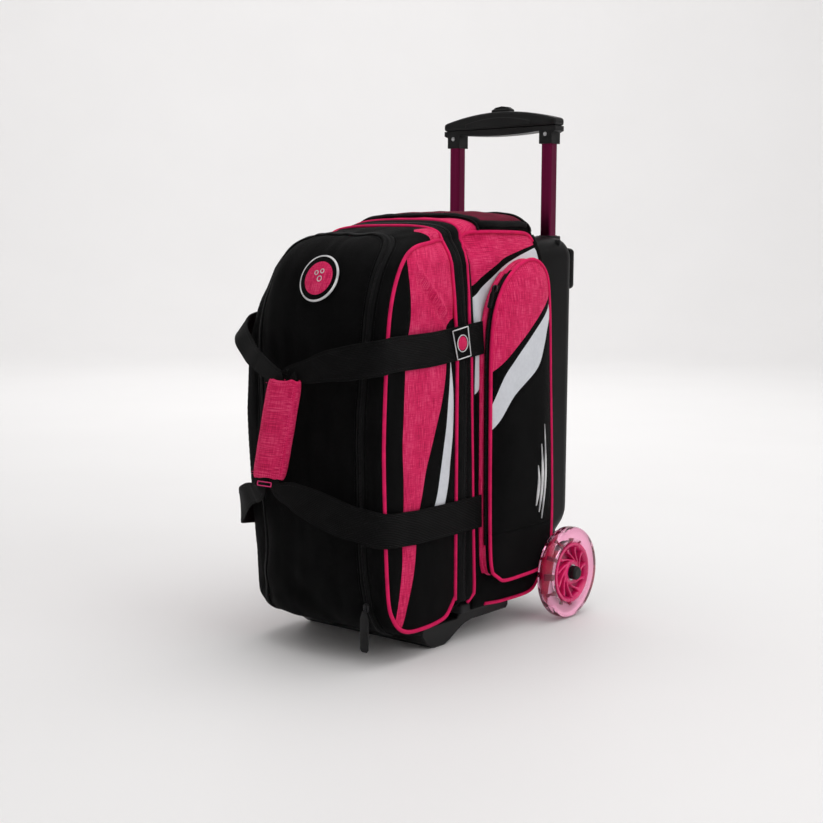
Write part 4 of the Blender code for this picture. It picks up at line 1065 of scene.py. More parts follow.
# ---- rear sides and top --------------------------------------------------------------------
REAR_FRONT = BAND_REAR + 0.0006
REAR_LOOP = ((REAR_FRONT, 0.0400), (0.1200, 0.0400), (0.1420, 0.0480), (0.1560, 0.0780), (0.1570, 0.2000),
             (0.1570, 0.4200), (0.1530, 0.4560), (0.1400, 0.5140), (0.1240, 0.5262), (REAR_FRONT, 0.5268))
SWOOSH_PINK = ((0.160, 0.5165), (0.126, 0.5100), (0.094, 0.5030), (0.060, 0.4940), (0.038, 0.4830), (0.016, 0.4690),
               (-0.019, 0.4490))
SWOOSH_WHITE = ((0.160, 0.5100), (0.126, 0.5055), (0.065, 0.4870), (0.030, 0.4650), (-0.019, 0.4330))
SWOOSH_LOW = ((-0.019, 0.3150), (0.004, 0.3250), (0.030, 0.3650), (0.075, 0.4250), (0.120, 0.4600), (0.160, 0.4780))


def make_rear_sides():
    pink_line, white_line, low_line = (corner_line(points) for points in (SWOOSH_PINK, SWOOSH_WHITE, SWOOSH_LOW))
    pink = [*pink_line, (-0.030, 0.560), (0.170, 0.560)]
    white = [*white_line, *low_line]
    loop = [Vector(REAR_LOOP[0]), *[Vector(p) for p in smooth(REAR_LOOP[1:9], 5)], Vector(REAR_LOOP[9])]
    for side, sign in SIDES:
        def set_down(a, b, edge, seam):
            puff = 0.0050 * (1 - exp(-edge / 0.012)) * (1 - 0.5 * strap_press(b))
            puff -= 0.0008 * exp(-(seam / 0.0022)**2)
            puff += 0.0010 * fold_noise((a, b * 0.8, 3 + sign), 0.035) * ease(0, 0.012, edge)
            behind = ease(0.000, 0.018, a) * ease(0.49, 0.46, b) * ease(0.07, 0.10, b)
            puff = puff * (1 - behind)
            return shoulder(Vector((sign * (HALF - 0.0008 + puff), a, b)))

        obj = panel(f"rear_side_cloth_{side}", [tuple(p) for p in loop], 0.0050, set_down,
                    ["black", "pink", "white"], ((1, pink), (2, white)), (pink_line, white_line, low_line), True)
        facing(obj, (sign, 0, 0))
        yield_piece(obj, "root", "black", f"rear_side_panel_{side}", backing="lining")
        foot = [Vector((sign * (HALF + 0.0006), *p)) for p in
                smooth(((0.022, 0.0430), (0.060, 0.0400), (0.118, 0.0402), (0.1400, 0.0490), (0.1540, 0.0740)), 6)]
        piping(f"rear_foot_piping_{side}", foot, "root")
        top = [Vector((sign * p[0], p[1], p[2])) for p in (
            (0.1205, -0.003, 0.5190), (0.1206, 0.006, 0.5250), (0.1206, 0.020, 0.5275), (0.1206, 0.070, 0.5282),
            (0.1204, 0.110, 0.5276), (0.1200, 0.126, 0.5245), (0.1196, 0.136, 0.5170))]
        piping(f"rear_top_piping_{side}", [shoulder(p) for p in smooth(top, 6)], "root")
        binding = [shoulder(Vector((sign * (HALF - 0.0005), y, z))) for y, z in
                   smooth(((0.1330, 0.5235), (0.1400, 0.5120), (0.1480, 0.4830), (0.1560, 0.4400), (0.1580, 0.4100)), 6)]
        place(tube(f"rear_edge_binding_{side}", spaced(binding, 0.004), 0.0042, "binding", False, 8, 0.55), "root",
              "binding")


REAR_ROWS = ((REAR_FRONT, 0.5225, 0.5425), (0.0200, 0.5255, 0.5465), (0.0500, 0.5265, 0.5495), (0.1100, 0.5265, 0.5515),
             (0.1270, 0.5255, 0.5500), (0.1335, 0.5250, 0.5460), (0.1362, 0.5215, 0.5300))


def top_at(u, y, lift=0.0, power=0.62, half=HALF):
    """The ball compartment's crowned top: u runs from -1 to 1 across it."""
    _, side_z, centre_z = between(REAR_ROWS, y)
    angle = radians(90 * u)
    x = abs(sin(angle))**power * (1 if u > 0 else -1)
    weight = abs(cos(angle))**power
    return shoulder(Vector((half * x, y, side_z + (centre_z - side_z) * weight + lift)))


def make_rear_top():
    def spot(u, v):
        y = REAR_FRONT + (0.1362 - REAR_FRONT) * v
        at = top_at(2 * u - 1, y)
        at.z += 0.0012 * fold_noise((at.x, y, 0), 0.03) * ease(0, 0.1, v) * ease(1, 0.9, v)
        return at, (at.x, y)

    top = sheet("rear_top_cloth", 60, 34, spot, ["pink", "black"],
                lambda a, b: 1 if b > 0.0240 and abs(a) < 0.1120 or b > 0.1240 else 0)
    facing(top, (0, 0, 1))
    place(thicken(top, backing="lining"), "root", "pink", "rear_top_panel")

    def back(u, v):
        at = top_at((2 * u - 1) * 0.985, 0.1336, -0.0030)
        return Vector((at.x * (1 - 0.03 * v), at.y, at.z + (0.4900 - at.z) * v)), (at.x, v * 0.04)

    behind = sheet("rear_back_cloth", 48, 8, back, ["black"])
    facing(behind, (0, 1, 0))
    place(thicken(behind, 0.0014), "root", "black")

    def pocket(u, v):
        y = 0.0270 + (0.1220 - 0.0270) * v
        at = top_at((2 * u - 1) * 0.86, y, 0.0030)
        at.z += (0.0030 * sin(pi * v) * sin(pi * u)**0.5 + 0.0016 * fold_noise((at.x, y, 4), 0.022))
        return at, (at.x, y)

    net = sheet("top_pocket_net", 56, 30, pocket, ["net"])
    facing(net, (0, 0, 1))
    place(thicken(net, 0.0009), "root", "net", "mesh_top_pocket")
    loop = [pocket(i / 40, 0)[0] for i in range(41)] + [pocket(1, i / 14)[0] for i in range(1, 15)]
    loop += [pocket(1 - i / 40, 1)[0] for i in range(1, 41)] + [pocket(0, 1 - i / 14)[0] for i in range(1, 14)]
    place(tube("top_pocket_binding", spaced(loop, 0.004, True), 0.0046, "binding", True, 8, 0.6), "root", "binding")
    for y, label in ((0.0242, "front"), (0.1300, "rear")):
        run = [top_at(-0.97 + 1.94 * i / 50, y, 0.0008) for i in range(51)]
        place(tube(f"top_binding_{label}", spaced(run, 0.004), 0.0040 if label == "front" else 0.0046, "binding",
                   False, 8, 0.5), "root", "binding")


# ---- side pockets ---------------------------------------------------------------------------
POCKET_LOOP = smooth_loop(POCKET_RIM, 6)
POCKET_MIDDLE = sum(POCKET_LOOP, Vector((0, 0))) / len(POCKET_LOOP)
POCKET_EDGE = nearness(spaced(POCKET_LOOP, 0.0015, True))
WALL_SPLIT = 0.1278                                # the wall's X where the zip parts it
FACE_PINK = ((0.152, 0.4520), (0.124, 0.4350), (0.098, 0.4140), (0.070, 0.3920), (0.045, 0.3730), (0.022, 0.3560),
             (-0.002, 0.3390))
FACE_WHITE = ((0.152, 0.4410), (0.127, 0.4245), (0.083, 0.3905), (0.050, 0.3625), (0.028, 0.3390), (0.009, 0.2990),
              (-0.004, 0.2860))
FACE_LOW = ((-0.004, 0.2620), (0.010, 0.2720), (0.023, 0.2850), (0.051, 0.3180), (0.101, 0.3500), (0.119, 0.3800),
            (0.131, 0.4020), (0.152, 0.4220))


def face_out(a, b):
    """How far the pocket's face stands out from its rim."""
    edge = POCKET_EDGE.find((a, b, 0))[2]
    rise = 0.0105 * (1 - exp(-(edge / 0.017)**1.3))
    return rise * ease(0.085, 0.215, b) + 0.0008 * ease(0, 0.01, edge)


def cut_loop(loop, level, above):
    """The part of a closed (y, z) loop above or below a level, closed along it."""
    found = []
    for here, after in zip(loop, [*loop[1:], loop[0]]):
        keep = (here.y > level) == above
        if keep:
            found.append(here)
        if (here.y > level) != (after.y > level):
            found.append(here.lerp(after, (level - here.y) / (after.y - here.y)))
    return found


def make_pockets():
    pink_line, white_line, low_line = (corner_line(points) for points in (FACE_PINK, FACE_WHITE, FACE_LOW))
    pink = [*pink_line, (-0.010, 0.520), (0.170, 0.520)]
    white = [*white_line, *low_line]
    for side, sign in SIDES:
        def set_down(a, b, edge, seam):
            out = face_out(a, b) - 0.0007 * exp(-(seam / 0.0020)**2)
            out += 0.0009 * fold_noise((a, b * 0.6, 7 + sign), 0.030) * ease(0, 0.015, edge) * ease(0.10, 0.2, b)
            return Vector((sign * (RIM_X + out), a, b))

        loop = cut_loop(POCKET_LOOP, POUCH_TOP, True)
        face = panel(f"pocket_face_{side}", [tuple(p) for p in loop], 0.0040, set_down,
                     ["black", "pink", "white"], ((1, pink), (2, white)), (pink_line, white_line, low_line))
        facing(face, (sign, 0, 0))
        settle(face, cap=0.0025)
        yield_piece(face, f"pocket_{side}", "black", f"pocket_door_{side}", backing="lining")
        loop = cut_loop(POCKET_LOOP, POUCH_TOP - 0.0004, False)
        low = panel(f"pocket_pouch_{side}", [tuple(p) for p in loop], 0.0050, set_down, ["black"])
        facing(low, (sign, 0, 0))
        yield_piece(low, "root", "black", f"pocket_gusset_{side}")
        make_pocket_wall(side, sign)


def make_pocket_wall(side, sign):
    rim = spaced(POCKET_LOOP, 0.0042, True)
    count = len(rim)
    runs = [i * 0.0042 for i in range(count + 1)]

    def wall(name, low, high, body, keep, pick, use):
        """A strip of the wall between two X, over the stretch of rim that keep(p) holds."""
        bm = bmesh.new()
        layer = bm.loops.layers.uv.new("cloth")
        steps = 4
        grid = []
        for i, p in enumerate(rim):
            out = (p - POCKET_MIDDLE).normalized()
            row = []
            for k in range(steps + 1):
                share = k / steps
                swell = 0.0011 * sin(pi * share)
                row.append(bm.verts.new((sign * (low + (high - low) * share), p.x + out.x * swell, p.y + out.y * swell)))
            grid.append(row)
        for i in range(count):
            j = (i + 1) % count
            if not (keep(rim[i]) and keep(rim[j])):
                continue
            for k in range(steps):
                face = bm.faces.new((grid[i][k], grid[j][k], grid[j][k + 1], grid[i][k + 1]))
                face.material_index = pick(rim[i])
                flat = ((k, i), (k, i + 1), (k + 1, i + 1), (k + 1, i))
                for loop, (s, r) in zip(face.loops, flat):
                    loop[layer].uv = (s * (high - low) / steps, runs[r])
        bmesh.ops.delete(bm, geom=[v for v in bm.verts if not v.link_faces], context="VERTS")
        obj = link(name, bm, use)
        total = 0.0
        for face in obj.data.polygons:
            away = Vector((0, face.center.y - POCKET_MIDDLE.x, face.center.z - POCKET_MIDDLE.y))
            total += face.normal.dot(away) * face.area
        if total < 0:
            obj.data.flip_normals()
        return place(thicken(obj, 0.0014), body, "black" if use[0] == "black" else "pink")

    front = lambda p: p.x < 0.056 and p.y < 0.479
    wall(f"pocket_wall_inner_{side}", HALF - 0.0040, WALL_SPLIT, "root", lambda p: True,
         lambda p: 0 if p.y < 0.0800 and 0.02 < p.x < 0.15 else 1, ["black", "pink"])
    wall(f"pocket_wall_outer_{side}", WALL_SPLIT + 0.0006, RIM_X, f"pocket_{side}", lambda p: p.y > POUCH_TOP,
         lambda p: 0 if front(p) else 1, ["tape", "pink"])
    wall(f"pouch_wall_outer_{side}", WALL_SPLIT + 0.0002, RIM_X, "root", lambda p: p.y < POUCH_TOP,
         lambda p: 0, ["black", "pink"])
    for above, body, label in ((True, f"pocket_{side}", "face"), (False, "root", "pouch")):
        level = POUCH_TOP if above else POUCH_TOP - 0.0004
        part = cut_loop(POCKET_LOOP, level, above)
        start = next(i for i in range(len(part)) if (part[i] - part[i - 1]).length > 0.05)
        part = part[start:] + part[:start]
        path = [Vector((sign * (RIM_X + 0.0002), p.x, p.y)) for p in part]
        piping(f"pocket_piping_{label}_{side}", path, body, 0.0024)
    part = cut_loop(POCKET_LOOP, 0.100, True)
    start = next(i for i in range(len(part)) if (part[i] - part[i - 1]).length > 0.05)
    part = part[start:] + part[:start]
    zip_run = [p for p in part if p.x < 0.058 and 0.12 < p.y < 0.478]
    line = [Vector((sign * (WALL_SPLIT + 0.0004), p.x - 0.0006, p.y)) for p in zip_run]
    place(coil(f"pocket_zip_coil_{side}", line, (1, 0, 0), (0, -1, 0.02), half=0.0024), "root", "coil")
    flange = [p for p in POCKET_LOOP if p.x < 0.060 and 0.080 < p.y < 0.478]
    flange.sort(key=lambda p: p.y)
    path = [Vector((sign * (HALF + 0.0022), p.x - 0.0022, p.y)) for p in flange]
    place(tube(f"pocket_flange_{side}", spaced(path, 0.004), 0.0030, "pink", False, 8, 0.75), "root", "pink")


# ---- carry loops and wrap ---------------------------------------------------------------------
WRAP_LOW, WRAP_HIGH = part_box("grip_wrap")
WRAP = (WRAP_LOW + WRAP_HIGH) / 2
WRAP_LEAN = 0.233
WRAP_TALL = 0.1220


RIGHT_LOOP = (                                     # (x, y, z, width, lean of the width inwards)
    (0.1240, 0.0080, 0.3935, 0.042, 0), (0.1247, -0.0300, 0.3895, 0.042, 0), (0.1250, -0.0900, 0.3840, 0.042, 0),
    (0.1255, -0.1400, 0.3815, 0.042, 0), (0.1262, -0.1700, 0.3800, 0.042, 0), (0.1225, -0.1970, 0.3760, 0.042, 0),
    (0.0980, -0.2130, 0.3725, 0.041, 0), (0.0700, -0.2230, 0.3670, 0.037, 0.1), (0.0420, -0.2310, 0.3600, 0.029, 0.3),
    (0.0160, -0.2370, 0.3545, 0.019, 0.6),
)
LEFT_LOOP = (
    (-0.1240, 0.0080, 0.3935, 0.042, 0), (-0.1250, -0.0500, 0.3940, 0.042, 0), (-0.1260, -0.1150, 0.3990, 0.042, 0),
    (-0.1275, -0.1530, 0.4050, 0.038, 0.3), (-0.1235, -0.1760, 0.4060, 0.032, 0.9), (-0.1040, -0.1960, 0.3940, 0.029, 1.0),
    (-0.0740, -0.2120, 0.3780, 0.026, 1.0), (-0.0400, -0.2270, 0.3640, 0.023, 1.0), (-0.0080, -0.2370, 0.3530, 0.020, 0.9),
)
RIGHT_RETURN = (
    (0.0230, -0.2360, 0.2080, 0.034, 0.2), (0.0470, -0.2310, 0.1990, 0.041, 0.05), (0.0720, -0.2220, 0.1895, 0.043, 0),
    (0.0950, -0.2125, 0.1800, 0.042, 0), (0.1180, -0.1990, 0.1730, 0.042, 0), (0.1262, -0.1720, 0.1690, 0.042, 0),
    (0.1255, -0.1400, 0.1675, 0.042, 0), (0.1250, -0.0900, 0.1670, 0.042, 0), (0.1247, -0.0300, 0.1680, 0.042, 0),
    (0.1240, 0.0080, 0.1690, 0.042, 0),
)
LEFT_RETURN = (
    (-0.0400, -0.2345, 0.2070, 0.024, 0.9), (-0.0660, -0.2240, 0.2000, 0.028, 0.7), (-0.0920, -0.2090, 0.1870, 0.034, 0.35),
    (-0.1150, -0.1890, 0.1740, 0.040, 0.05), (-0.1255, -0.1650, 0.1690, 0.042, 0), (-0.1262, -0.1400, 0.1665, 0.042, 0),
    (-0.1255, -0.0900, 0.1640, 0.042, 0), (-0.1247, -0.0300, 0.1610, 0.042, 0), (-0.1240, 0.0080, 0.1600, 0.042, 0),
)


def loop_route(sign):
    """Points, width directions and widths of a carry loop, from its upper sewn end to its lower one."""
    inward = Vector((-sign, 0, 0))
    upper, lower = (RIGHT_LOOP, RIGHT_RETURN) if sign > 0 else (LEFT_LOOP, LEFT_RETURN)
    points = [Vector(row[:3]) for row in upper]
    turns = [UP + inward * row[4] for row in upper]
    for z in (0.3450, WRAP.z, 0.2220):
        points.append(Vector((WRAP.x + WRAP_LEAN * (z - WRAP.z) + sign * 0.0112, WRAP.y, z)))
        turns.append(inward)
    points += [Vector(row[:3]) for row in lower]
    turns += [-UP + inward * row[4] for row in lower]
    widths = [row[3] for row in upper] + [0.018] * 3 + [row[3] for row in lower]
    return points, turns, widths


def make_loops():
    for side, sign in SIDES:
        points, turns, widths = loop_route(sign)
        route, across = smooth(points, 8), smooth(turns, 8)
        sizes = [p.x for p in smooth([(w, 0) for w in widths], 8)]
        for i, point in enumerate(route):
            free = ease(-0.05, -0.16, point.y) * (1 if abs(point.x - WRAP.x) > 0.05 else 0)
            point += Vector((0, 0, 0.0022 * fold_noise(point, 0.045, sign) * free))
            point += Vector((0, -0.0016 * fold_noise(point, 0.03, 2) * free, 0))
        band = ribbon(f"carry_loop_cloth_{side}", route, across, sizes, 0.0021, "webbing", 10)
        place(band, f"loop_{side}", "webbing", f"carry_loop_{side}")
        for label, start in (("upper", 0), ("lower", len(route) - 1)):
            at = route[start]
            out = Vector((sign, 0, 0))
            y = 0.0040
            for k, step in enumerate((0.0, -0.012, -0.020)):
                bar = [Vector((at.x + sign * 0.0012, y + step, at.z - 0.018)),
                       Vector((at.x + sign * 0.0012, y + step, at.z + 0.018))]
                place(stitches(f"loop_tack_{label}_{k}_{side}", bar, out, "black_thread"), f"loop_{side}", "black_thread")
        for edge in (-1, 1):
            row = []
            for i in range(4, len(route) - 4, 2):
                ahead = (route[i + 1] - route[i - 1]).normalized()
                way = (across[i] - ahead * across[i].dot(ahead)).normalized()
                up = ahead.cross(way).normalized()
                up = up if up.dot(Vector((sign * 0.2, -1, 0)) if abs(point.x) < 0.11 else Vector((sign, -0.2, 0))) > 0 else -up
                row.append(route[i] + way * edge * (sizes[i] / 2 - 0.0035) + up * 0.0012)
            place(stitches(f"loop_stitch_{'lower' if edge < 0 else 'upper'}_{side}", row, (sign, -0.3, 0),
                           "black_thread", 0.0045, 0.0030), f"loop_{side}", "black_thread")


def make_wrap():
    """The padded cloth wrap that holds both loops together, with its stitched edge below."""
    steps, levels = 40, 34
    bm = bmesh.new()
    layer = bm.loops.layers.uv.new("cloth")
    rings = []
    for j in range(levels + 1):
        share = j / levels - 0.5
        z = share * WRAP_TALL
        end = 1 - 0.10 * (abs(share) * 2)**8
        ring = []
        for i in range(steps):
            angle = 2 * pi * i / steps
            c, s = cos(angle), sin(angle)
            x = 0.0252 * abs(c)**0.62 * (1 if c > 0 else -1) * end
            y = 0.0092 * abs(s)**0.62 * (1 if s > 0 else -1) * end
            puff = 0.0011 * fold_noise((x * 1.4, z * 0.8, s), 0.018)
            ragged = 0.0030 * fold_noise((angle, 3.0, share), 0.35) * max(0, (abs(share) - 0.44) / 0.06)
            ring.append(bm.verts.new(WRAP + Vector((x * (1 + puff * 20) + WRAP_LEAN * z, y * (1 + puff * 30), z + ragged))))
        rings.append(ring)
    for j in range(levels):
        for i in range(steps):
            k = (i + 1) % steps
            face = bm.faces.new((rings[j][i], rings[j][k], rings[j + 1][k], rings[j + 1][i]))
            flat = ((j, i), (j, i + 1), (j + 1, i + 1), (j + 1, i))
            for loop, (r, s) in zip(face.loops, flat):
                loop[layer].uv = (r * WRAP_TALL / levels, s * 0.0034)
    obj = link("grip_wrap_cloth", bm, ["pink"])
    bmesh_fix(obj)
    thicken(obj, 0.0030, 1)
    place(obj, "loop_right", "pink", "grip_wrap")
    for z in (-0.0565, 0.0565, -0.0535):
        row = [WRAP + Vector((-0.0225 + 0.045 * i / 20 + WRAP_LEAN * z, -0.0094, z)) for i in range(21)]
        place(stitches(f"wrap_stitch_{round((z + 0.1) * 10000)}", row, (0, -1, 0), "pink_thread"), "loop_right",
              "pink_thread")
    patch = [WRAP + Vector((x + WRAP_LEAN * z, -0.0072, z)) for x, z in
             ((-0.0110, -0.0650), (0.0120, -0.0650), (0.0120, -0.0700), (-0.0110, -0.0700), (-0.0110, -0.0650))]
    place(tube("wrap_end_stitch", spaced(patch, 0.002)[:-1], 0.0007, "pink_thread", True, 6), "loop_right", "pink_thread")
    row = [WRAP + Vector((0.0218 + WRAP_LEAN * z, -0.0070, z)) for z in (-0.055 + 0.11 * i / 30 for i in range(31))]
    place(stitches("wrap_stitch_seam", row, (0.6, -1, 0), "pink_thread"), "loop_right", "pink_thread")


def bmesh_fix(obj):
    """Turns a closed-round sheet's faces outward."""
    bm = bmesh.new()
    bm.from_mesh(obj.data)
    middle = sum((v.co for v in bm.verts), Vector()) / len(bm.verts)
    total = sum((f.normal.dot(f.calc_center_median() - middle) * f.calc_area()) for f in bm.faces)
    if total < 0:
        bmesh.ops.reverse_faces(bm, faces=bm.faces)
    bm.to_mesh(obj.data)
    bm.free()


# ---- wheels -----------------------------------------------------------------------------------
def make_wheel(side, sign):
    centre = Vector((sign * WHEEL.x, WHEEL.y, WHEEL.z))
    body = f"wheel_{side}"
    half = (WHEEL_HIGH.x - WHEEL_LOW.x) / 2
    profile = []
    for i in range(40):
        angle = 2 * pi * i / 40
        c, s = cos(angle), sin(angle)
        middle, deep = (WHEEL_RADIUS + CORE_RADIUS) / 2, (WHEEL_RADIUS - CORE_RADIUS) / 2
        radius = middle + deep * abs(s)**0.75 * (1 if s > 0 else -1)
        profile.append((max(radius, CORE_RADIUS + 0.0004), half * abs(c)**0.62 * (1 if c > 0 else -1)))
    tyre = lathe(f"wheel_tyre_clear_{side}", profile, centre, 0, 96, "tyre", 60)
    place(tyre, body, "tyre", f"wheel_tyre_{side}")

    rim = CORE_RADIUS
    ring = lathe(f"wheel_rim_{side}", [
        (rim, 0.0084), (rim, 0.0040), (rim - 0.0006, 0.0030), (rim - 0.0006, -0.0030), (rim, -0.0040), (rim, -0.0084),
        (rim - 0.0008, -0.0092), (rim - 0.0036, -0.0092), (rim - 0.0046, -0.0082), (rim - 0.0064, -0.0060),
        (rim - 0.0072, -0.0030), (rim - 0.0072, 0.0030), (rim - 0.0064, 0.0060), (rim - 0.0046, 0.0082),
        (rim - 0.0036, 0.0092), (rim - 0.0008, 0.0092),
    ], centre, 0, 72, "core", 35)
    place(ring, body, "core", f"wheel_core_{side}")
    hub = lathe(f"wheel_hub_{side}", [
        (0.0112, 0.0088), (0.0112, -0.0088), (0.0150, -0.0092), (0.0168, -0.0080), (0.0180, -0.0050), (0.0180, 0.0050),
        (0.0168, 0.0080), (0.0150, 0.0092),
    ], centre, 0, 48, "core", 35)
    place(hub, body, "core")
    web = lathe(f"wheel_web_{side}", [(0.0178, 0.0013), (0.0178, -0.0013), (rim - 0.0070, -0.0013), (rim - 0.0070, 0.0013)],
                centre, 0, 48, "module")
    place(web, body, "core")
    bm = bmesh.new()
    spokes, steps = 11, 8
    for k in range(spokes):
        lead = 2 * pi * k / spokes
        rows = []
        for i in range(steps + 1):
            share = i / steps
            radius = 0.0170 + (rim - 0.0062 - 0.0170) * share
            turn = lead + 0.75 * share**0.8 + 0.16 * sin(pi * share)
            wide = (0.0023 - 0.0006 * sin(pi * share)) / radius
            high = 0.0078 - 0.0012 * sin(pi * share)
            row = []
            for offset, x in ((-wide, -high), (-wide * 0.4, -high - 0.0007), (wide * 0.4, -high - 0.0007), (wide, -high),
                              (wide, high), (wide * 0.4, high + 0.0007), (-wide * 0.4, high + 0.0007), (-wide, high)):
                row.append(bm.verts.new(centre + Vector((x, radius * cos(turn + offset), radius * sin(turn + offset)))))
            rows.append(row)
        for a, b in zip(rows, rows[1:]):
            for i in range(8):
                j = (i + 1) % 8
                bm.faces.new((a[i], a[j], b[j], b[i]))
        bm.faces.new(rows[0])
        bm.faces.new(list(reversed(rows[-1])))
    bmesh.ops.recalc_face_normals(bm, faces=bm.faces)
    place(link(f"wheel_spokes_{side}", bm, ["core"], 35), body, "core")
    bm = bmesh.new()
    for k in range(12):
        lead = 2 * pi * k / 12
        low, high, reach = CORE_RADIUS + 0.0022, CORE_RADIUS + 0.0064, (0.10 if k % 3 else 0.17)
        rows = []
        for i in range(7):
            turn = lead - reach / 2 + reach * i / 6
            rows.append([bm.verts.new(centre + Vector((x, r * cos(turn), r * sin(turn))))
                         for r, x in ((low, -0.0045), (high, -0.0035), (high, 0.0035), (low, 0.0045))])
        for a, b in zip(rows, rows[1:]):
            for i in range(4):
                j = (i + 1) % 4
                bm.faces.new((a[i], a[j], b[j], b[i]))
        bm.faces.new(rows[0])
        bm.faces.new(list(reversed(rows[-1])))
    bmesh.ops.recalc_face_normals(bm, faces=bm.faces)
    place(link(f"wheel_light_modules_{side}", bm, ["module"], 35), body, "module")


# ---- zip sliders, emblem and badge --------------------------------------------------------------
def flat_loop(name, points, thickness, out, use):
    """A flat closed shape in space, made into a thin patch with a rounded rim."""
    bm = bmesh.new()
    layer = bm.loops.layers.uv.new("cloth")
    out = Vector(out).normalized()
    across = out.cross(UP).normalized() if abs(out.z) < 0.9 else Vector((1, 0, 0))
    up = across.cross(out)
    middle = sum(points, Vector()) / len(points)
    rows = []
    for scale, lift in ((1.0, -0.5), (1.0, 0.25), (0.975, 0.5)):
        rows.append([bm.verts.new(middle + (p - middle) * scale + out * thickness * lift) for p in points])
    count = len(points)
    for a, b in zip(rows, rows[1:]):
        for i in range(count):
            j = (i + 1) % count
            bm.faces.new((a[i], a[j], b[j], b[i]))
    bm.faces.new(rows[-1])
    bm.faces.new(list(reversed(rows[0])))
    bmesh.ops.triangulate(bm, faces=[f for f in bm.faces if len(f.verts) > 4])
    for face in bm.faces:
        for loop in face.loops:
            loop[layer].uv = (loop.vert.co.dot(across), loop.vert.co.dot(up))
    bmesh.ops.recalc_face_normals(bm, faces=bm.faces)
    return link(name, bm, [use])


def circle(centre, radius, across, up, steps=40):
    return [centre + across * radius * cos(2 * pi * i / steps) + up * radius * sin(2 * pi * i / steps)
            for i in range(steps)]


def make_emblem():
    """A plain sewn patch on the flap: a white ring, a pink ball and its three finger holes."""
    a = flat_x(0.021)
    b = between([(z, run) for run, _, _, y, z in DOOR_ROWS if y < -0.165 and z > 0.2], 0.4680)[1]
    at, out = front_at(a, b), front_out(a, b)
    at = at + out * (front_drape(a, b) + 0.0030)
    across = UP.cross(out).normalized()
    up = out.cross(across)
    ring = tube("emblem_ring", circle(at, 0.0290, across, up, 56), 0.0015, "white_thread", True, 8, 0.7)
    backing = flat_loop("emblem_backing", circle(at - out * 0.0009, 0.0290, across, up, 56), 0.0034, out, "black")
    ball = flat_loop("emblem_ball", circle(at + out * 0.0006, 0.0215, across, up, 48), 0.0016, out, "pink")
    place(backing, "flap", "black")
    place(ring, "flap", "white_thread")
    place(ball, "flap", "pink")
    for k, (x, y, radius) in enumerate(((-0.0052, 0.0068, 0.0026), (0.0036, 0.0090, 0.0026), (0.0018, -0.0008, 0.0033))):
        hole = tube(f"emblem_hole_{k}", circle(at + across * x + up * y + out * 0.0014, radius, across, up, 20), 0.0006,
                    "white_thread", True, 6)
        place(hole, "flap", "white_thread")


def make_badge():
    """The plain label sewn over the end of the upper carry loop on each side."""
    for side, sign in SIDES:
        x = sign * 0.1272
        corners = [(-0.0610, 0.4040), (-0.0300, 0.4090), (-0.0230, 0.3720), (-0.0500, 0.3680)]
        points = []
        for (ay, az), (by, bz) in zip(corners, [*corners[1:], corners[0]]):
            points += [Vector((x, ay + (by - ay) * t / 8, az + (bz - az) * t / 8)) for t in range(8)]
        out = Vector((sign, 0, 0))
        place(flat_loop(f"label_backing_{side}", points, 0.0016, out, "black"), f"loop_{side}", "black")
        shown = [p + out * 0.0009 for p in points]
        place(tube(f"label_border_{side}", shown, 0.0008, "white_thread", True, 6), f"loop_{side}", "white_thread")
        middle = sum(points, Vector()) / len(points) + out * 0.0012
        place(flat_loop(f"label_ball_{side}", circle(middle, 0.0088, Vector((0, 1, 0)), UP, 32), 0.0010, out, "pink"),
              f"loop_{side}", "pink")
        place(tube(f"label_ring_{side}", circle(middle + out * 0.0004, 0.0105, Vector((0, 1, 0)), UP, 32), 0.0006,
                   "white_thread", True, 6), f"loop_{side}", "white_thread")


def make_ornament():
    """Three plain tapering white dashes on each pocket's face."""
    dashes = ((0.1450, 0.2740, 0.1210, 0.0017), (0.1550, 0.2480, 0.1130, 0.0024), (0.1650, 0.2200, 0.1045, 0.0028))
    for side, sign in SIDES:
        for k, (low, high, y, wide) in enumerate(dashes):
            line = []
            for i in range(25):
                z = low + (high - low) * i / 24
                at = y + 0.0030 * sin((z - low) / (high - low) * pi) - 0.03 * (z - 0.2)
                line.append(Vector((sign * (RIM_X + face_out(at, z) + 0.0010), at, z)))
            place(flat_dash(f"pocket_dash_{k}_{side}", line, wide, sign), f"pocket_{side}", "white_thread")


def flat_dash(name, line, wide, sign):
    """A raised band of thread, widest near its middle, that follows a line on a side's cloth."""
    bm = bmesh.new()
    layer = bm.loops.layers.uv.new("cloth")
    rows = []
    for i, point in enumerate(line):
        t = i / (len(line) - 1)
        half = wide * max(0.10, sin(pi * t)**0.7) * (1.15 - 0.5 * t)
        row = []
        for share, lift in ((-1, -0.0010), (-0.9, 0.0003), (-0.4, 0.0006), (0.4, 0.0006), (0.9, 0.0003), (1, -0.0010)):
            row.append(bm.verts.new(point + Vector((sign * lift, half * share, 0))))
        rows.append(row)
    for i, (a, b) in enumerate(zip(rows, rows[1:])):
        for k in range(6):
            m = (k + 1) % 6
            face = bm.faces.new((a[k], a[m], b[m], b[k]))
            for loop in face.loops:
                loop[layer].uv = (loop.vert.co.z, loop.vert.co.y)
    bm.faces.new(rows[0])
    bm.faces.new(list(reversed(rows[-1])))
    bmesh.ops.recalc_face_normals(bm, faces=bm.faces)
    return link(name, bm, ["white_thread"])


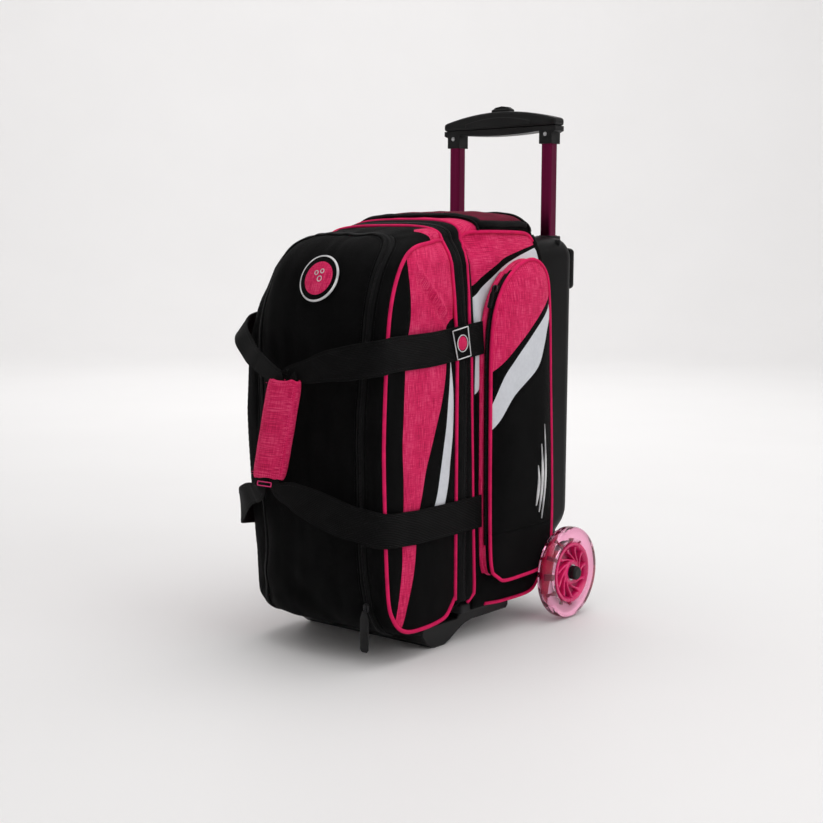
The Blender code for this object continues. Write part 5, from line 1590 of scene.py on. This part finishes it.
def make_slider(name, node, body, pull_name, pull_node, pull_body, outward, hang, wide, shift=(0, 0, 0), pull_shift=None):
    """A zip slider with its bridge, and its ridged pull, in the places of the CAD pair."""
    outward, hang = Vector(outward).normalized(), Vector(hang).normalized()
    side = outward.cross(hang)
    low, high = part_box(node)
    middle = (low + high) / 2 + Vector(shift)
    bm = bmesh.new()
    plan = ((0.0050, 0.0022), (0.0030, 0.0040), (-0.0010, 0.0046), (-0.0044, 0.0036), (-0.0050, 0.0012))
    loop = [*plan, *[(h, -w) for h, w in reversed(plan)]]
    rows = [[bm.verts.new(middle + hang * h * k + side * w * k + outward * o) for h, w in loop]
            for k, o in ((0.92, -0.0018), (1.0, -0.0010), (1.0, 0.0008), (0.86, 0.0018))]
    for a, b in zip(rows, rows[1:]):
        for i in range(10):
            bm.faces.new((a[i], a[(i + 1) % 10], b[(i + 1) % 10], b[i]))
    bm.faces.new(rows[0])
    bm.faces.new(rows[-1])
    bmesh.ops.recalc_face_normals(bm, faces=bm.faces)
    place(link(name, bm, ["gunmetal"], 30), body, "gunmetal", node)
    bridge = [middle + hang * 0.0042 * cos(t) + outward * (0.0014 + 0.0024 * sin(t)) for t in
              (pi * i / 12 for i in range(13))]
    place(tube(f"{name}_bridge", bridge, 0.0009, "gunmetal"), body, "gunmetal")
    low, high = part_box(pull_node)
    centre = (low + high) / 2 + Vector(pull_shift or shift)
    reach = max((high - low)) / 2
    bm = bmesh.new()
    steps, rows = 34, []
    for i in range(steps + 1):
        share = i / steps
        half = wide * (0.55 + 0.45 * ease(0.0, 0.22, share)) * (1 - 0.35 * ease(0.93, 1.0, share))
        thick = 0.0011 + 0.00035 * abs(sin(pi * share * 11)) * (share > 0.2)
        at = centre + hang * reach * (2 * share - 1)
        rows.append([bm.verts.new(at + side * half * cos(t) + outward * thick * (abs(sin(t))**0.5) * (1 if sin(t) > 0 else -1))
                     for t in (2 * pi * (k + 0.5) / 12 for k in range(12))])
    for a, b in zip(rows, rows[1:]):
        for i in range(12):
            bm.faces.new((a[i], a[(i + 1) % 12], b[(i + 1) % 12], b[i]))
    bm.faces.new(rows[0])
    bm.faces.new(rows[-1])
    bmesh.ops.recalc_face_normals(bm, faces=bm.faces)
    place(link(pull_name, bm, ["coil"], 50), pull_body, "coil", pull_node)


def make_sliders():
    make_slider("shoe_zip_slider", "shoe_slider", "shoe_zip", "shoe_zip_pull", "shoe_slider_pull", "shoe_pull",
                (0, -1, 0), (0, 0, -1), 0.0066, (0.0070, 0.0035, 0), (0.0080, 0.0020, 0))
    make_slider("main_zip_slider", "main_slider", "main_zip", "main_zip_pull", "main_slider_pull", "main_pull",
                (-0.55, 0, 0.85), (0.85, 0, 0.55), 0.0034, (0, 0, -0.0315), (0, 0, -0.0195))
    lean = radians(19.27)
    for side, _ in SIDES:
        make_slider(f"pocket_zip_slider_{side}", f"pocket_slider_{side}", f"pocket_zip_{side}", f"pocket_zip_pull_{side}",
                    f"pocket_slider_pull_{side}", f"pocket_pull_{side}", (0, -cos(lean), sin(lean)),
                    (0, -sin(lean), -cos(lean)), 0.0034)


# ---- divider, shoe puller, slots and finishing ----------------------------------------------------
def make_divider():
    low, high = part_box("door_divider")
    def spot(u, v):
        x, z = low.x + (high.x - low.x) * u, low.z + (high.z - low.z) * v
        quilt = abs(sin((x + z) * pi / 0.036)) * abs(sin((x - z) * pi / 0.036))
        edge = min(u, 1 - u) * 0.228, min(v, 1 - v) * 0.448
        puff = 0.0012 * quilt**0.5 * ease(0.002, 0.012, min(edge))
        return shoulder(Vector((x * 0.985, (low.y + high.y) / 2 + 0.0008 + puff, z))), (x, z)

    obj = sheet("divider_quilt", 64, 124, spot, ["lining"])
    facing(obj, (0, 1, 0))
    thicken(obj, 0.0020)
    place(obj, "door", "lining", "door_divider")
    rim = [Vector((x * 0.985, (low.y + high.y) / 2, z)) for x, z in (
        (low.x, low.z), (high.x, low.z), (high.x, high.z), (low.x, high.z))]
    place(tube("divider_binding", [shoulder(p) for p in spaced(rim, 0.006, True)], 0.0022, "binding", True, 8), "door", "binding")


CAD_LOOKS = {
    "back_shell": "shell", "back_board": "board", "base_tray": "board", "front_skid": "plastic",
    "axle_housing": "plastic", "axle": "steel", "axle_cap": "plastic", "wheel_bearing": "steel",
    "outer_tube": "raw_tube", "middle_tube": "tube", "inner_tube": "tube", "push_rod": "steel", "lock_pin": "steel",
    "grip_screw": "steel", "grip": "plastic", "release_button": "plastic", "button_spring": "steel",
    "foam_cup": "foam", "main_slider": "gunmetal", "shoe_slider": "gunmetal", "pocket_slider": "gunmetal",
}


def dress_cad():
    """Gives every CAD part that stays its own material and smooth rounded faces."""
    for name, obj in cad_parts.items():
        if obj.hide_render:
            continue
        use = next((CAD_LOOKS[key] for key in sorted(CAD_LOOKS, key=len, reverse=True) if name.startswith(key)), None)
        if use is None:
            raise SystemExit(f"{name} has no look")
        obj.data.materials.clear()
        obj.data.materials.append(M[use])
        obj.data.shade_smooth()
        obj.data.set_sharp_from_angle(angle=radians(32))


# ---- moulded back ---------------------------------------------------------------------------------
def rounded_block(name, corners, low, high, radius, use, segments=6, keep=None):
    """A block over (y, z) corners from x low to high, with its edges rounded where keep(edge) allows."""
    bm = bmesh.new()
    rings = [[bm.verts.new((x, y, z)) for y, z in corners] for x in (low, high)]
    bm.faces.new(rings[0])
    bm.faces.new(list(reversed(rings[1])))
    count = len(corners)
    for i in range(count):
        j = (i + 1) % count
        bm.faces.new((rings[0][i], rings[1][i], rings[1][j], rings[0][j]))
    bmesh.ops.recalc_face_normals(bm, faces=bm.faces)
    edges = [edge for edge in bm.edges if keep is None or keep(edge)]
    bmesh.ops.bevel(bm, geom=edges, offset=radius, segments=segments, profile=0.5, affect="EDGES")
    return link(name, bm, [use], 35)


def cut(obj, *cutters):
    """Takes the cutters' shapes out of a piece, and removes the cutters."""
    for cutter in cutters:
        modifier = obj.modifiers.new("cut", "BOOLEAN")
        modifier.operation = "DIFFERENCE"
        modifier.object = cutter
        modifier.solver = "EXACT"
        applied(obj)
        bpy.data.objects.remove(cutter)
    obj.data.shade_smooth()
    obj.data.set_sharp_from_angle(angle=radians(35))
    return obj


def make_shell():
    """The moulded back: a deep tray with rounded edges, its bumper and the collars round the tubes."""
    front, back, half, top = SHELL_LOW.y, 0.2430, SHELL_HIGH.x, SHELL_HIGH.z
    outline = ((front, 0.0460), (back, 0.1250), (back, top), (front, top))
    rear = lambda edge: any(v.co.y > front + 0.001 for v in edge.verts)
    shell = rounded_block("back_shell_moulding", outline, -half, half, 0.0300, "shell", 8, rear)
    bm = bmesh.new()
    bm.from_mesh(shell.data)
    gone = [face for face in bm.faces if all(abs(v.co.y - front) < 1e-5 for v in face.verts)]
    bmesh.ops.delete(bm, geom=gone, context="FACES")
    bm.to_mesh(shell.data)
    bm.free()
    thicken(shell, 0.0030)
    holes = []
    for _, sign in SIDES:
        x, reach = sign * TUBE_X, (TUBE_HIGH.x - TUBE_LOW.x) / 2 + 0.0008
        square = ((TUBE_Y - reach, top - 0.012), (TUBE_Y + reach, top - 0.012), (TUBE_Y + reach, top + 0.012),
                  (TUBE_Y - reach, top + 0.012))
        holes.append(rounded_block("hole", square, x - reach, x + reach, 0.002, "shell", 2))
    place(cut(shell, *holes), "root", "shell", "back_shell")
    bumper = rounded_block("back_shell_bumper", ((0.2300, 0.4500), (0.2475, 0.4520), (0.2475, 0.5070), (0.2300, 0.5090)),
                           -0.1080, 0.1080, 0.0055, "shell", 5)
    place(bumper, "root", "shell")
    for k, z in enumerate((0.4640, 0.4795, 0.4950)):
        rib = rounded_block(f"back_shell_rib_{k}", ((0.2440, z - 0.0022), (0.2474, z - 0.0012), (0.2474, z + 0.0012),
                                                    (0.2440, z + 0.0022)), -0.0980, 0.0980, 0.0006, "shell", 2)
        place(rib, "root", "shell")
    for k in range(5):
        x = -0.084 + 0.042 * k
        rib = rounded_block(f"back_shell_flute_{k}", ((0.2400, 0.1500), (0.2447, 0.1540), (0.2447, 0.4300), (0.2400, 0.4340)),
                            x - 0.0045, x + 0.0045, 0.0016, "shell", 3)
        place(rib, "root", "shell")
    for side, sign in SIDES:
        x, reach = sign * TUBE_X, 0.0128
        square = ((TUBE_Y - reach, top - 0.0080), (TUBE_Y + reach, top - 0.0080), (TUBE_Y + reach, top + 0.0012),
                  (TUBE_Y - reach, top + 0.0012))
        collar = rounded_block(f"tube_collar_{side}", square, x - reach, x + reach, 0.0016, "plastic", 3)
        inner = 0.0112
        square = ((TUBE_Y - inner, top - 0.01), (TUBE_Y + inner, top - 0.01), (TUBE_Y + inner, top + 0.01),
                  (TUBE_Y - inner, top + 0.01))
        place(cut(collar, rounded_block("hole", square, x - inner, x + inner, 0.002, "plastic", 2)), "root", "plastic")


# ---- stage --------------------------------------------------------------------------------------
CAMERA = Vector((1.19555, -1.45659, 0.49864))
CAMERA_TURN, CAMERA_PITCH, CAMERA_ROLL = 39.0585, 6.3245, 0.3004
LENS = 62.11


def soft_light(name, place_, target, size, power, colour=(1, 1, 1)):
    data = bpy.data.lights.new(name, "AREA")
    data.shape = "RECTANGLE"
    data.size, data.size_y = size
    data.energy = power
    data.color = colour
    obj = bpy.data.objects.new(name, data)
    obj.location = place_
    obj.rotation_euler = (Vector(target) - Vector(place_)).to_track_quat("-Z", "Y").to_euler()
    bpy.context.scene.collection.objects.link(obj)


def make_stage():
    """A pale studio floor that turns up into a wall all round, soft lights and the camera."""
    floor_radius, bend, wall = 5.0, 1.8, 5.5
    profile = [(0.0, 0.0), (1.0, 0.0), (floor_radius, 0.0)]
    profile += [(floor_radius + bend * sin(radians(t)), bend - bend * cos(radians(t))) for t in range(9, 91, 9)]
    profile.append((floor_radius + bend, wall))
    bm = bmesh.new()
    steps, rows = 72, []
    for radius, z in profile:
        if radius == 0:
            rows.append([bm.verts.new((0, 0, 0))] * steps)
        else:
            rows.append([bm.verts.new((radius * cos(2 * pi * i / steps), radius * sin(2 * pi * i / steps), z))
                         for i in range(steps)])
    for a, b in zip(rows, rows[1:]):
        for i in range(steps):
            j = (i + 1) % steps
            bm.faces.new((a[i], b[i], b[j]) if a[i] is a[j] else (a[i], b[i], b[j], a[j]))
    mesh = bpy.data.meshes.new("studio_floor")
    bm.to_mesh(mesh)
    bm.free()
    mesh.shade_smooth()
    floor = bpy.data.objects.new("studio_floor", mesh)
    bpy.context.scene.collection.objects.link(floor)
    mat, tree, shader = shading("pale floor", 0.55, Specular_IOR_Level=0.25)
    soft = grain(tree, surface(tree, False), 2.0, 3.0)
    tree.links.new(ramp(tree, soft, ((0.2, (0.850, 0.843, 0.842)), (0.8, (0.870, 0.863, 0.862)))),
                   shader.inputs["Base Color"])
    mesh.materials.append(mat)

    world = bpy.data.worlds.new("studio")
    world.use_nodes = True
    world.node_tree.nodes["Background"].inputs["Color"].default_value = (1.0, 0.985, 0.98, 1)
    world.node_tree.nodes["Background"].inputs["Strength"].default_value = 0.56
    bpy.context.scene.world = world
    soft_light("overhead", (0.3, 0.4, 3.2), (0, 0, 0.1), (3.4, 3.0), 56)
    soft_light("side", (3.0, -0.2, 2.0), (0, 0, 0.3), (1.6, 1.6), 18)
    soft_light("backdrop", (-2.0, 2.0, 3.6), (-3.6, 4.6, 1.2), (2.6, 2.6), 80)

    data = bpy.data.cameras.new("camera")
    data.lens = LENS
    data.sensor_width = 36
    camera = bpy.data.objects.new("camera", data)
    turn = (Matrix.Rotation(radians(CAMERA_TURN), 4, "Z") @ Matrix.Rotation(radians(90 - CAMERA_PITCH), 4, "X")
            @ Matrix.Rotation(radians(CAMERA_ROLL), 4, "Z"))
    camera.matrix_world = Matrix.Translation(CAMERA) @ turn
    bpy.context.scene.collection.objects.link(camera)
    scene = bpy.context.scene
    scene.camera = camera
    scene.view_settings.view_transform = "Standard"
    scene.view_settings.look = "None"


make_front()
make_door_sides()
make_door_piping()
make_band()
make_rear_sides()
make_rear_top()
make_pockets()
run_cloth()
finish_sheets()
make_loops()
make_wrap()
for wheel_side, wheel_sign in SIDES:
    make_wheel(wheel_side, wheel_sign)
make_emblem()
make_badge()
make_ornament()
make_sliders()
make_divider()
make_shell()
dress_cad()
make_stage()
